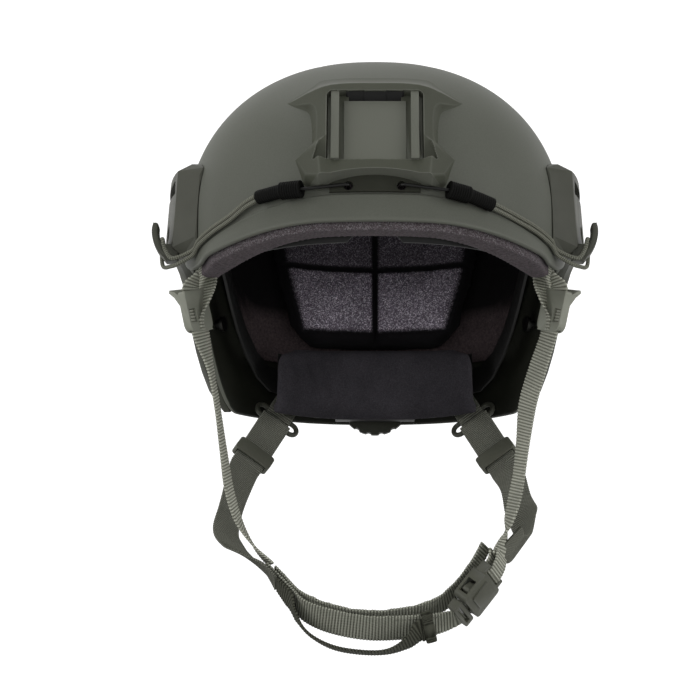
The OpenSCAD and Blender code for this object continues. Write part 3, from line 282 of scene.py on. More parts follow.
def crease_z(th):
    """Height of the crease above the brow's lip, which runs down toward the temples."""
    t = fold(th)
    side = -4.5 - 17 * ease((t - 8) / 52)
    return side + (rim_z(th) * 0.25 - side) * ease((t - 56) / 10)


def lip(th, z):
    """How far the lip stands out: from nothing at the crease to 5 mm at the rim, fading toward the temples."""
    low, top = rim_z(th), crease_z(th)
    down = np.clip((top - z) / (top - low), 0, 1)
    return BROW_FLARE * (1 - ease((fold(th) - 44) / 12)) * (0.22 * ease(down / 0.07) + 0.78 * down)


def hollow(p):
    """Depth of the vent troughs: a scoop along each line, steep on its outer side and easy toward the crown."""
    depth = np.zeros(p.shape[:-1])
    q = np.stack([np.abs(p[..., 0]), p[..., 1]], -1)
    for a, b in TROUGH_LINES:
        long = np.linalg.norm(b - a)
        way = (b - a) / long
        side = np.array([way[1], -way[0]]) * (1 if way[1] > 0 else -1)
        along, out = (q - a) @ way, (q - a) @ side
        ends = ease((along + 15) / 16) * ease((long + 14 - along) / 22)
        depth = np.maximum(depth, ends * ease((11 - out) / 3.4) * ease((out + 17) / 15))
    return np.where(p[..., 2] > 28, TROUGH * 1.15 * depth, 0)


def shell_points(th, rows_up, rows_low, off, scooped):
    """Rows of the shell from just off the crown to the crease, then to the rim. The last 14% of the rows above the
    crease run straight to it, and scooped is the share of the troughs' depth."""
    k = np.linspace(0, 1, rows_up)[:, None]
    up = (CROWN + off) * np.sin(np.radians(90 - 88.8 * k)) ** (2 / HEIGHT_POWER)
    crease = crease_z(th)[None]
    start = (CROWN + off) * np.sin(np.radians(90 - 88.8 * 0.86)) ** (2 / HEIGHT_POWER)
    up = np.where(k > 0.86, start + (crease + 0.02 - start) * np.clip((k - 0.86) / 0.14, 0, 1), up + 0 * crease)
    down = crease + (rim_z(th)[None] - crease) * (np.linspace(0, 1, rows_low)[:, None] ** 1.3)
    z = np.concatenate([up, down])
    t = np.repeat(th[None], len(z), 0)
    p = dome(t, z, off) + lip(t, z)[..., None] * swing(t)
    return p - scooped * hollow(p)[..., None] * outward(p)


def matte_coating(name, low, high, rubbed):
    """Matte sprayed coating with fine grit: a broad dull sheen, a sandy touch about 0.6 mm across, and faint
    cloudy shifts of tone 30 mm across. Edges are a shade lighter where hands rub them, and the inside is darker."""
    made, tree, place = new_material(name)
    cloud = add(tree, "TexNoise", {"Vector": place, "Scale": 33.0, "Detail": 3.0, "Roughness": 0.55})
    grit = add(tree, "TexNoise", {"Vector": place, "Scale": 1500.0, "Detail": 2.0, "Roughness": 0.7})
    worn = add(tree, "NewGeometry").outputs["Pointiness"]
    rub = add(tree, "MapRange", {"Value": worn, "From Min": 0.505, "From Max": 0.56})
    tone = add(tree, "Mix", {0: cloud, 6: linear(low), 7: linear(high)}, data_type="RGBA")
    speck = add(tree, "MapRange", {"Value": grit, "From Min": 0.3, "From Max": 0.7, "To Min": 0.93, "To Max": 1.07})
    tone = add(tree, "Mix", {0: 1.0, 6: tone, 7: speck}, data_type="RGBA", blend_type="MULTIPLY")
    tone = add(tree, "Mix", {0: rub, 6: tone, 7: linear(rubbed)}, data_type="RGBA")
    # The shell's inside takes a darker tone, #1d1e18.
    inner_share = add(tree, "Attribute", attribute_name="inner").outputs["Fac"]
    tone = add(tree, "Mix", {0: inner_share, 6: tone, 7: linear("#1d1e18")}, data_type="RGBA")
    dull = add(tree, "MapRange", {"Value": cloud, "To Min": 0.5, "To Max": 0.62})
    return shaded(made, {"Base Color": tone, "Roughness": dull, "Specular IOR Level": 0.16}, grit, 0.16, 0.00012)


def applied(made, kept=False):
    """The mesh of an object with its modifiers applied. The object is removed, or kept with that mesh."""
    bpy.context.view_layer.update()
    mesh = bpy.data.meshes.new_from_object(made.evaluated_get(bpy.context.evaluated_depsgraph_get()))
    if kept:
        made.modifiers.clear()
        made.data = mesh
    else:
        bpy.data.objects.remove(made)
    return mesh


def rings(points):
    """A closed form as points and faces: each row of the points is a ring, and the two ends are flat."""
    rows, cols, _ = points.shape
    index = np.arange(rows * cols).reshape(rows, cols)
    nxt = np.roll(index, -1, 1)
    walls = np.stack([index[:-1], nxt[:-1], nxt[1:], index[1:]], -1).reshape(-1, 4)
    return points.reshape(-1, 3), [index[0, ::-1].tolist(), index[-1].tolist()] + walls.tolist()


def merged(name, forms, flat=False):
    """One mesh of several closed forms."""
    starts = np.cumsum([0] + [len(points) for points, _ in forms]).tolist()
    faces = [[i + start for i in face] for start, (_, polys) in zip(starts, forms) for face in polys]
    return mesh_of(name, np.concatenate([points for points, _ in forms]), faces, flat)


def bored(target, forms, way="DIFFERENCE"):
    """Cuts closed forms out of a piece, or joins them to it, and applies that."""
    tool = held("cutters", merged("cutters", forms, True))
    cut = target.modifiers.new("cut", "BOOLEAN")
    cut.operation, cut.solver, cut.object = way, "EXACT", tool
    applied(target, True)
    bpy.data.objects.remove(tool)


def prism(outline, base, axis, side, length):
    """A closed prism: an outline in the plane across axis, pushed along axis by length."""
    side = side / np.linalg.norm(side)
    ring = base + outline[:, :1] * side + outline[:, 1:] * np.cross(axis, side)
    return rings(np.stack([ring, ring + axis * length]))


def read(mesh, what):
    """The co or the normal of each vertex, as rows of three."""
    out = np.zeros(len(mesh.vertices) * 3)
    mesh.vertices.foreach_get(what, out)
    return out.reshape(-1, 3)


def mark(mesh, name, values):
    """Gives a mesh an attribute with one value for each vertex."""
    mesh.attributes.new(name, "FLOAT", "POINT").data.foreach_set("value", values.astype(np.float32))


coating = matte_coating("sprayed_matte_grit_coating", "#575951", "#60625a", "#6d6f66")
mount_coating = matte_coating("moulded_nylon_sprayed_matte", "#414339", "#4b4d43", "#66685f")
turn = np.arange(0, 360, 0.8)
outside, inside = shell_points(turn, 104, 16, 0.0, 1.0), shell_points(turn, 40, 8, -WALL, 0.4)[::-1]
middle, half = (outside[-1] + inside[0]) / 2, (outside[-1] - inside[0]) / 2
roll = np.radians(np.arange(15, 166, 15))[:, None, None]
edge = middle + half * np.cos(roll) + np.array([0, 0, -1.0]) * (WALL / 2) * 0.75 * np.sin(roll)
shell_mesh = surface("shell_surface", np.concatenate([outside, edge, inside]), around=True, caps=True)
shell = piece("moulded_shell", shell_mesh, coating, "helmet", "shell_coat", "shell")

# The vent slots, 20 x 6 mm with round ends, and the two round holes for the cords' wire hooks.
SLOT_LONG, SLOT_WIDE = 20, 6
a = np.radians(np.linspace(-90, 90, 14))
end, shift = np.stack([np.cos(a), np.sin(a)], 1) * SLOT_WIDE / 2, np.array([(SLOT_LONG - SLOT_WIDE) / 2, 0])
slot = np.concatenate([end + shift, -end - shift])
a = np.radians(np.arange(0, 360, 12))
circle = np.stack([np.cos(a), np.sin(a)], 1) * HOOK_BORE / 2
holes = []
for sign in (-1, 1):
    for a, b in TROUGH_LINES:
        m, way = (a + b) / 2 + (a - b) * 0.22, b - a
        start, way = np.array([sign * m[0], m[1], 60.0]), np.array([sign * way[0], way[1], 0])
        holes.append(prism(slot, start, np.array([0, 0, 1.0]), way, 45))
    start = np.array([sign * HOOK_HOLE, -100, HOOK_LEVEL])
    holes.append(prism(circle, start, np.array([0, -1.0, 0]), np.array([1.0, 0, 0]), 50))
bored(shell, holes)
facing = (read(shell.data, "normal") * outward(read(shell.data, "co") / MM)).sum(1)
mark(shell.data, "inner", facing < -0.3)

# The front mount. One olive nylon moulding that lies on the brow: an arch round a flat seat, with two
# pointed fins above and two splayed feet below. It is drawn as heights over the plane of its seat.
MOUNT_TILT = math.radians(21)
MOUNT_AT = np.array([0, -138.6, 9.0])
MOUNT_UP = np.array([0, math.sin(MOUNT_TILT), math.cos(MOUNT_TILT)])
MOUNT_OUT = np.array([0, -math.cos(MOUNT_TILT), math.sin(MOUNT_TILT)])
FOOT_IN, FOOT_LOW, LOW_MIDDLE, LOW_ROUND = 29.6, -7.5, -2.5, 176
WINDOW_HALF, WINDOW_LOW, WINDOW_TOP, WINDOW_CORNER = 22.6, 3.4, 46, 3
SLIT_HALF, SLIT_LOW = 14.4, 42.4


def on_seat(x, y, h):
    """Points of the mount's own frame in the helmet's frame."""
    return MOUNT_AT + x[..., None] * np.array([1.0, 0, 0]) + y[..., None] * MOUNT_UP + h[..., None] * MOUNT_OUT


def dome_height(x, y):
    """Height of the dome over the seat's plane at x and y, by halving the interval 44 times. A point is outside where
    its plan, to the power 2.2 / 2.3, and its height term come to more than 1."""
    low, high = np.full(x.shape, -80.0), np.full(x.shape, 30.0)
    for _ in range(44):
        mid = (low + high) / 2
        p = on_seat(x, y, mid)
        plan = (np.abs(p[..., 0]) / HALF_WIDTH) ** PLAN_POWER + (np.abs(p[..., 1]) / REACH) ** PLAN_POWER
        level = (np.abs(p[..., 2]) / top_at(p[..., 2])) ** HEIGHT_POWER
        out = plan ** (HEIGHT_POWER / PLAN_POWER) + level > 1
        high, low = np.where(out, mid, high), np.where(out, low, mid)
    return low


def soft_max(a, b, r):
    """The greater of two heights, with a fillet of about r where they cross."""
    h = np.maximum(r - np.abs(a - b), 0) / r
    return np.maximum(a, b) + h * h * r / 4


def soft_min(a, b, r):
    """The lesser of two heights, with a rounded edge of about r where they cross."""
    return -soft_max(-a, -b, r)


def solid_sheet(name, top, low, keep):
    """A closed solid between two grids of points over the cells that are kept, with walls round their edge."""
    rows, cols, _ = top.shape
    n = rows * cols
    index = np.arange(n).reshape(rows, cols)
    a, b, c, d = index[:-1, :-1], index[:-1, 1:], index[1:, 1:], index[1:, :-1]
    quads = np.stack([a, b, c, d], -1)[keep]
    faces = [quads, quads[:, ::-1] + n]
    grown = np.pad(keep, 1)
    for far, p, q in (
        (grown[:-2, 1:-1], a, b),
        (grown[2:, 1:-1], c, d),
        (grown[1:-1, :-2], d, a),
        (grown[1:-1, 2:], b, c),
    ):
        edge = keep & ~far
        faces.append(np.stack([q[edge], p[edge], p[edge] + n, q[edge] + n], -1))
    used, faces = np.unique(np.concatenate(faces), return_inverse=True)
    co = np.concatenate([top.reshape(-1, 3), low.reshape(-1, 3)])[used]
    return mesh_of(name, co, faces.reshape(-1, 4).tolist())


def crisp(mesh, degrees):
    """Smooth shading that breaks at edges sharper than the angle."""
    mesh.shade_smooth()
    mesh.set_sharp_from_angle(angle=math.radians(degrees))
    return mesh


def unit(v):
    """A vector, or an array of them, at length 1."""
    v = np.asarray(v, float)
    return v / np.linalg.norm(v, axis=-1, keepdims=True)


def smooth_line(points, steps):
    """Curve through points: each span is the Catmull-Rom cubic of its two ends and their neighbours."""
    p = np.asarray(points, float)
    p = np.concatenate([p[:1], p, p[-1:]])
    t = np.linspace(0, 1, steps, endpoint=False)[:, None]
    spans = [
        0.5 * (2 * b + (c - a) * t + (2 * a - 5 * b + 4 * c - d) * t**2 + (3 * b - a - 3 * c + d) * t**3)
        for a, b, c, d in zip(p[:-3], p[1:-2], p[2:-1], p[3:])
    ]
    return np.concatenate(spans + [p[-1:]])


def past_outline(x, y, runs):
    """Drop outside a closed outline: distance to its nearest side times that side's slope, and 0 inside. runs are
    (points, slope); a point is inside where a level line from it crosses the outline an odd number of times."""
    near, drop, inside = np.full(x.shape, 1e9), np.zeros(x.shape), np.zeros(x.shape, bool)
    for points, slope in runs:
        for a, b in zip(points[:-1], points[1:]):
            d = b - a
            k = np.clip(((x - a[0]) * d[0] + (y - a[1]) * d[1]) / max(d @ d, 1e-12), 0, 1)
            far = np.hypot(x - a[0] - k * d[0], y - a[1] - k * d[1])
            drop = np.where(far < near, far * slope, drop)
            near = np.minimum(near, far)
            if a[1] != b[1]:
                inside ^= ((a[1] > y) != (b[1] > y)) & (x < a[0] + d[0] * (y - a[1]) / d[1])
    return np.where(inside, 0, drop)


def low_arc(across):
    """Height of the mount's lower edge between its feet: an arc that falls away from the middle."""
    return LOW_MIDDLE - across**2 / LOW_ROUND


X, V = np.meshgrid(np.linspace(-50, 50, 281), np.linspace(0, 1, 210))
A = np.abs(X)
low_edge = np.where(A < FOOT_IN, low_arc(A), FOOT_LOW + 0.35 * (A - FOOT_IN))
Y = low_edge + V * (70 - low_edge)
ground = dome_height(X, Y)
# The outline of the face, from the top of the arch to the horn's tip, down the side, round the foot's
# corner and back along the lower arc. Each run has the slope of the wall that falls from it.
top_run = [
    (-9, 51.2), (0, 51.2), (12, 51.2), (17.3, 50.9), (22.7, 50.2),
    (26, 49.8), (30, 50.2), (36, 51.2), (42, 51.7), (46.6, 52),
]
horn_run = [(46.6, 52), (44.4, 49.6), (41.6, 47.4), (37.5, 45.2), (34.2, 43), (32, 39), (31, 33), (30.9, 26)]
foot_run = [(30.9, 20), (31.4, 17), (33.4, 14.4), (37, 12.8), (42.2, 11.4)]
arc = np.linspace(FOOT_IN, -9, 30)
runs = [
    (smooth_line(top_run, 8), 1.16),
    (smooth_line(horn_run, 8), 1.7),
    (np.array([horn_run[-1], foot_run[0]]), 1.9),
    (smooth_line(foot_run, 8), 2.2),
    (np.array([foot_run[-1], (36.4, -1.6), (FOOT_IN, FOOT_LOW)]), 4.0),
    (np.stack([arc, low_arc(arc)], 1), 8.0),
    (np.array([(-9, -3), top_run[0]]), 1.0),
]
# The heights: the arch, the horns that slope out from it, the feet's facets with a pocket over each, and
# the thin bar between the feet. The dome shows in the window, and the slit opens behind the seat's slot.
arch = 4.8 - 0.0016 * (Y - 25) ** 2
horn = 4.6 - 0.99 * (A - 26)
facet = 4.5 - 1.38 * (A - 30.8) + 0.2 * (Y - 10)
lower = ease((17 - Y) / 7)
face = soft_min(arch, horn * (1 - lower) + facet * lower, 0.8)
face = np.where(Y > 30, soft_min(arch, horn, 0.8 + 3.4 * ease((Y - 30) / 14)), face)
pocket = (Y < 17) & (Y > WINDOW_LOW) & (A < 28.4 + 0.33 * (17 - Y))
face = np.where(pocket, np.minimum(face, 4.6 - 0.42 * (17 - Y) - 0.35), face)
bar = 1.2 + 3.4 * ease((A - 23) / 9)
form = np.where(Y <= WINDOW_LOW, soft_min(face, bar, 0.6), face) - past_outline(A, Y, runs)
fillet = 1.6 + 3.6 * ease((Y - 26) / 10) * (1 - 0.85 * ease((A - 27) / 9))
corner_y = WINDOW_TOP - WINDOW_CORNER
corner = np.hypot(np.maximum(A - WINDOW_HALF, 0), np.maximum(Y - corner_y, 0))
round_in = (A < WINDOW_HALF) | (Y < corner_y) | (corner < WINDOW_CORNER)
window = (Y > WINDOW_LOW) & (A < WINDOW_HALF + WINDOW_CORNER) & (Y < WINDOW_TOP) & round_in
kept = (form > ground - 0.8 * fillet) | window
form = np.where(window, np.maximum(ground + 1.0, -4.2), soft_max(form, ground - 0.2, fillet))
slit = (A < SLIT_HALF) & (Y > SLIT_LOW) & (Y < WINDOW_TOP)
form = np.where(slit | ~kept, ground - 0.6, form)
cells = kept[:-1, :-1] | kept[1:, :-1] | kept[:-1, 1:] | kept[1:, 1:]
mount_mesh = solid_sheet("mount_surface", on_seat(X, Y, form), on_seat(X, Y, ground - 1.0), cells)
piece("front_mount_moulding", crisp(mount_mesh, 28), mount_coating, "helmet", "mount_plastic", "front_mount")

# The slot's painted shadow. A thin black sheet, shaped as a neoprene lip at the mount's joint with the shell, shows
# in the slot, where its upper part stands 3 mm high against the inside of the arch, and paints the shade there.
strip = (A < 15.5) & (Y > 41) & (Y < 48)
strip_top, strip_low = on_seat(X, Y, np.where(Y > 45.3, 3.2, ground + 0.35)), on_seat(X, Y, ground - 0.4)
painted_slot_shadow_mesh = solid_sheet("gasket_strip_surface", strip_top, strip_low, strip[:-1, :-1] & strip[1:, 1:])

# The mount's seat. A flat plate of the same nylon lies in the arch, with a dovetail pillar on each
# side and a latch slot at its top. It keeps its CAD shape, with its moulded edges rounded.
SLOT_HALF, SLOT_FOOT, SLOT_HEAD, SLOT_DEEP = 13.9, 42.2, 45.9, 16


def rounded_copy(node, width, degrees=32, steps=2):
    """A copy of a CAD node's mesh with its triangles merged into flat faces and a rounded edge of the width, in
    millimetres, wherever two faces meet at more than the angle."""
    mesh = frame["nodes"][node].data.copy()
    work = bmesh.new()
    work.from_mesh(mesh)
    bmesh.ops.remove_doubles(work, verts=work.verts, dist=2e-6)
    bmesh.ops.dissolve_limit(work, angle_limit=math.radians(0.6), verts=work.verts, edges=work.edges)
    work.to_mesh(mesh)
    work.free()
    mesh.shade_smooth()
    probe = held(node + "_surface", mesh)
    edge = probe.modifiers.new("edge", "BEVEL")
    edge.width, edge.segments, edge.limit_method = width * MM, steps, "ANGLE"
    edge.angle_limit, edge.harden_normals = math.radians(degrees), True
    return applied(probe)


seat_mesh = rounded_copy("mount_seat", 0.35)
seat = piece("front_mount_seat", seat_mesh, mount_coating, "helmet", "mount_plastic", "mount_seat")
x, y = SLOT_HALF * np.array([-1, 1, 1, -1]), np.array([SLOT_FOOT, SLOT_FOOT, SLOT_HEAD, SLOT_HEAD])
bored(seat, [rings(np.stack([on_seat(x, y, np.full(4, deep)) for deep in (-9.0, SLOT_DEEP - 9.0)]))])
crisp(seat.data, 32)

# The side rails. Glass-filled nylon, moulded in one piece: a flat bevelled face with an accessory
# channel along it and a J hook for the cord in front. Three cap screws each hold them to the shell.
HOOK_Y, LIP_THICK, LIP_WIDE = -52, 4.2, 10.6


def moulded(name, tone, rough=0.5, grain=0.9, depth=0.05, worn=None, gloss_level=0.18):
    """Injection-moulded plastic or rubber: even colour with a fine spark-eroded grain, grain millimetres across and
    depth deep, and faint flow marks 14 mm across. A worn tone shows along rubbed edges."""
    made, tree, place = new_material(name)
    fine = add(tree, "TexNoise", {"Vector": place, "Scale": 1000 / grain, "Detail": 3.0, "Roughness": 0.6})
    flow = add(tree, "TexNoise", {"Vector": place, "Scale": 70.0, "Detail": 2.0})
    level = add(tree, "MapRange", {"Value": flow, "From Min": 0.3, "From Max": 0.7, "To Min": 0.9, "To Max": 1.1})
    base = add(tree, "Mix", {0: 1.0, 6: linear(tone), 7: level}, data_type="RGBA", blend_type="MULTIPLY")
    if worn:
        edge = add(tree, "NewGeometry").outputs["Pointiness"]
        rub = add(tree, "MapRange", {"Value": edge, "From Min": 0.52, "From Max": 0.62})
        base = add(tree, "Mix", {0: rub, 6: base, 7: linear(worn)}, data_type="RGBA")
    gloss = add(tree, "MapRange", {"Value": fine, "To Min": rough - 0.06, "To Max": rough + 0.1})
    inputs = {"Base Color": base, "Roughness": gloss, "Specular IOR Level": gloss_level}
    return shaded(made, inputs, fine, 0.35, depth * MM)


rail_nylon = moulded("glass_filled_nylon_moulded", "#45463e", 0.5, 0.8, 0.06, "#5d5e55")


def rounded_wave(angle, power):
    """A sine's value with its size raised to a power, which squares an oval."""
    return np.sign(np.sin(angle)) * np.abs(np.sin(angle)) ** power


def hook_lip(side):
    """The hook's fat rounded lip: an oval 4.2 mm thick and 10.6 mm wide, carried up round the cup."""
    line = smooth_line([(5.2, -20.4), (8.8, -19.4), (11.4, -15.6), (13.0, -11.2), (13.6, -7), (13.2, -2.6)], 8)
    way = unit(np.gradient(line, axis=0))
    a = np.linspace(0, 2 * math.pi, 20, endpoint=False)
    left = np.linspace(len(line) - 1, 0, len(line))[:, None]
    thick = LIP_THICK / 2 * np.sqrt(np.minimum(1, 0.25 + left / 6)) * rounded_wave(a, 0.7)
    wide = np.broadcast_to(LIP_WIDE / 2 * rounded_wave(a + math.pi / 2, 0.5), thick.shape)
    x, z = line[:, :1] + way[:, 1:] * thick, line[:, 1:] - way[:, :1] * thick
    points, faces = rings(np.stack([side * (HALF_WIDTH + x), wide + HOOK_Y, z], -1))
    return points, faces if side > 0 else [face[::-1] for face in faces]


for side, name in ((-1, "rail_left"), (1, "rail_right")):
    rail = piece("moulded_" + name, rounded_copy(name, 0.7, 22, 3), rail_nylon, "helmet", "rail_plastic", name)
    bored(rail, [hook_lip(side)], "UNION")

# The elastic cords. Shock cord of rubber strands in a braided nylon jacket, 2.4 mm thick, runs double
# along the crease on each side. It loops round the rail's hook and ends in a ribbed rubber sleeve.
CORD, STRAND_GAP, BRAID = 2.4, 1.35, 0.06
HOOK_WIRE = 1.8


def along_line(points):
    """Distance of each point along a line."""
    return np.concatenate([[0], np.cumsum(np.linalg.norm(np.diff(points, axis=0), axis=1))])


def even(points, pitch, *carried):
    """Points spaced evenly along a line, and any arrays carried with them."""
    length = along_line(points)
    at = np.linspace(0, length[-1], max(4, int(round(length[-1] / pitch)) + 1))
    pick = lambda a: np.stack([np.interp(at, length, column) for column in a.T], 1)
    return (at, pick(points), *[pick(c) for c in carried])


def circled(turn, radius, a, b):
    """Circles of a radius in the plane of the directions a and b, one for each row."""
    return a[:, None] * (np.cos(turn) * radius)[..., None] + b[:, None] * (np.sin(turn) * radius)[..., None]


def tube(name, line, radius, sides=16, weave=0.0):
    """A round section carried along a line. Its frame turns as little as it can, because each side direction is the
    last one less its part along the way. weave presses in a braid of crossing strands."""
    way = unit(np.gradient(line, axis=0))
    length = along_line(line)[:, None]
    a = [unit(np.cross(way[0], [0.1, 0.2, 1.0]))]
    for t in way[1:]:
        a.append(unit(a[-1] - (a[-1] @ t) * t))
    a = np.array(a)
    turn = np.linspace(0, 2 * math.pi, sides, endpoint=False)[None]
    r = radius + weave * np.cos(4 * turn + length * 2.6) * np.cos(4 * turn - length * 2.6)
    ring = circled(turn, r, a, np.cross(way, a))
    uv = np.stack(np.broadcast_arrays(turn / (2 * math.pi) * 8.0, length), -1)
    return surface(name, (line[:, None] + ring)[::-1], around=True, caps=True, uv=uv[::-1])


def braided_cord():
    """Nylon braid over rubber: crossing strands 0.8 mm wide, light on top and dark between, slightly fuzzy. Their
    height is cos(along + round) * cos(along - round)."""
    made, tree, place = new_material("braided_nylon_jacket")
    uv = add(tree, "SeparateXYZ", {0: place.node.outputs["UV"]}).outputs
    along = add(tree, "Math", {0: uv["Y"], 1: 2600.0}, operation="MULTIPLY")
    around = add(tree, "Math", {0: uv["X"], 1: 2 * math.pi * 500}, operation="MULTIPLY")
    waves = [add(tree, "Math", {0: along, 1: around}, operation=way) for way in ("ADD", "SUBTRACT")]
    one, two = [add(tree, "Math", {0: wave}, operation="COSINE") for wave in waves]
    high = add(tree, "Math", {0: one, 1: two}, operation="MULTIPLY")
    level = add(tree, "MapRange", {"Value": high, "From Min": -1.0})
    tone = add(tree, "Mix", {0: level, 6: linear("#34352d"), 7: linear("#8f9083")}, data_type="RGBA")
    return shaded(made, {"Base Color": tone, "Roughness": 0.75, "Specular IOR Level": 0.15}, high, 0.4, 0.0002)


def bungee_run(line):
    """The doubled cord: out along its upper strand, round the hook, and back along its lower strand."""
    th, z, off = np.array(line).T
    hook = [
        [3, -62.6, -24], [7.4, -60.4, -19], [9, -59.4, -13], [10, -52, -11.2], [10, -45.6, -13],
        [10.6, -44.8, -19], [9.4, -47, -25.4], [4.6, -57, -27.4], [0, -63, -27.2],
    ]
    hook = np.array(hook) + [HALF_WIDTH, 0, 0]
    return np.concatenate([dome(th, z + STRAND_GAP, off), hook, dome(th, z - STRAND_GAP, off)[::-1]])


def sleeve(name, a, b, c):
    """A rubber sleeve: a profile turned round the bent line a b c. It rises in fine ribs on the wide half and steps
    down to the narrow half, which has shallow ribs. It turns in to the cord's bore at one end and the wire's at the
    other."""
    wide = np.linalg.norm(b - a)
    total = wide + np.linalg.norm(c - b)
    s_out = np.arange(0, total, 0.15)
    ribs = np.abs(np.sin(math.pi * s_out / 1.35)) ** 0.6
    r_out = np.where(s_out < wide, 4.2 + 0.55 * ribs, 3.45 + 0.35 * ribs)
    step = ease(s_out - wide + 0.5)
    r_out = np.where(np.abs(s_out - wide) < 0.5, 4.75 * (1 - step) + 3.6 * step, r_out)
    r_out = r_out * np.minimum(1, 0.78 + 0.6 * np.minimum(s_out, total - s_out))
    s = np.concatenate([[3.2, 3.2, 0.3], s_out, [total, total - 5.8, total - 5.8]])[:, None]
    r = np.concatenate([[0.05, 1.7, 1.7], r_out, [3.15, 3.15, 0.05]])[:, None]
    bend = ease((s - wide + 2) / 4)
    first, second = unit(b - a), unit(c - b)
    centre = a + first * np.minimum(s, wide) + second * np.maximum(s - wide, 0)
    way = unit(first * (1 - bend) + second * bend)
    side = unit(np.cross(way, [0, 0, 1.0]))
    ring = circled(np.linspace(0, 2 * math.pi, 36, endpoint=False)[None], r, side, np.cross(way, side))
    return surface(name, centre[:, None] + ring, around=True, caps=True)


cord_cloth = braided_cord()
sleeve_rubber = moulded("moulded_epdm_rubber", "#040403", 0.65, 0.5, 0.04, gloss_level=0.08)
wire_steel = moulded("blackened_spring_steel", "#0c0c0a", 0.32, 0.4, 0.01)
# Along each cord: direction, height and distance off the dome. Then the heights of its sleeve's end and bend.
left_line = [[26, -2.9, 4.5], [31, -5.8, 3.2], [37, -11, 2.2], [44.5, -14.8, 2.2], [51.6, -18, 2.2], [56.6, -21.6, 2.2]]
right_line = [
    [26, -7.2, 4.5], [30.5, -9.4, 3.2], [35.5, -11.6, 2.2], [43.5, -14.8, 2.2], [51.4, -18, 2.2], [56.6, -21.6, 2.2],
]
cords = {"left": (-1, left_line, -2.4, -2.4), "right": (1, right_line, -2.6, -4.6)}
for name, (side, line, end_z, bend_z) in cords.items():
    mirror = np.array([side, 1.0, 1.0])
    _, run_line = even(smooth_line(bungee_run(line), 16), 0.5)
    cord_mesh = tube("cord_" + name, (run_line * mirror)[::side], CORD / 2 - BRAID, 16, BRAID)
    piece("braided_cord_" + name, cord_mesh, cord_cloth, "helmet", "elastic_cord", "bungee_" + name)
    a, b = dome(16.2, end_z, 5.9), dome(21.2, bend_z, 5.3)
    c = dome(27.6, line[0][1] * 0.68 + line[1][1] * 0.32, 4.1)
    sleeve_mesh = sleeve("sleeve_" + name, a * mirror, b * mirror, c * mirror)
    piece("rubber_sleeve_" + name, sleeve_mesh, sleeve_rubber, "helmet", "sleeve_rubber", "bungee_sleeve_" + name)
    start = a + unit(b - a) * 2.7
    near = np.array([HOOK_HOLE + 2.5, -REACH - 4.8, HOOK_LEVEL])
    over, end = (np.array([HOOK_HOLE, y - REACH, HOOK_LEVEL]) for y in (-4, 2.4))
    wire = [start, (start + near) / 2, near, (near + over) / 2 + [0, -0.5, 0], over, (over + end) / 2, end]
    wire_mesh = tube("wire_" + name, smooth_line(np.array(wire) * mirror, 8), HOOK_WIRE / 2, 14)
    piece("wire_hook_" + name, wire_mesh, wire_steel, "helmet", "plated_steel", "bungee_hook_" + name)

# The felt lining. A cap of mauve needled felt, 2.5 mm thick, glued inside the crown, where the pads hang. Its
# upper part is coloured near black: painted shade deep inside the crown. Its cut edge runs down behind the ears.
LINING = 2.5
LINING_OFF = -(WALL + 1.6)
PAD_OFF = LINING_OFF - LINING - 1.6
PAINTED_SHADE_LOW = -16


def faced_out(mesh):
    """Turns the faces of a closed mesh outward."""
    work = bmesh.new()
    work.from_mesh(mesh)
    bmesh.ops.recalc_face_normals(work, faces=work.faces)
    work.to_mesh(mesh)
    work.free()
    return mesh


def pad_cloth(name, low, high, fleck, share=0.2, pile=1.1, seam_and_shade=None):
    """Brushed knit or needled felt: tufts of fibre pile millimetres across in two tones, drawn about twice their
    real size so that they show, with a share of bright flecks and a soft nap. A seam_and_shade tone, where given,
    shows wherever the attribute panel falls to 0, along the binding and the stitched channels, and in part where
    panel is lowered as painted shade."""
    made, tree, place = new_material(name)
    tuft = add(tree, "TexNoise", {"Vector": place, "Scale": 1000 / pile, "Detail": 4.0, "Roughness": 0.7})
    cloud = add(tree, "TexNoise", {"Vector": place, "Scale": 60.0, "Detail": 3.0})
    grain = add(tree, "TexVoronoi", {"Vector": place, "Scale": 2300 / pile, "Randomness": 1.0})
    level = add(tree, "MapRange", {"Value": tuft, "From Min": 0.35, "From Max": 0.65})
    tone = add(tree, "Mix", {0: level, 6: linear(low), 7: linear(high)}, data_type="RGBA")
    spot = add(tree, "SeparateColor", {0: grain.outputs["Color"]})
    bright = add(tree, "MapRange", {"Value": spot, "From Min": 1 - share})
    tone = add(tree, "Mix", {0: bright, 6: tone, 7: linear(fleck)}, data_type="RGBA")
    shade = add(tree, "MapRange", {"Value": cloud, "From Min": 0.3, "From Max": 0.7, "To Min": 0.82, "To Max": 1.12})
    tone = add(tree, "Mix", {0: 1.0, 6: tone, 7: shade}, data_type="RGBA", blend_type="MULTIPLY")
    if seam_and_shade:
        panel = add(tree, "Attribute", attribute_name="panel").outputs["Fac"]
        tone = add(tree, "Mix", {0: panel, 6: linear(seam_and_shade), 7: tone}, data_type="RGBA")
    return shaded(made, {"Base Color": tone, "Roughness": 0.95, "Specular IOR Level": 0.08}, tuft, 0.6, 0.0004)


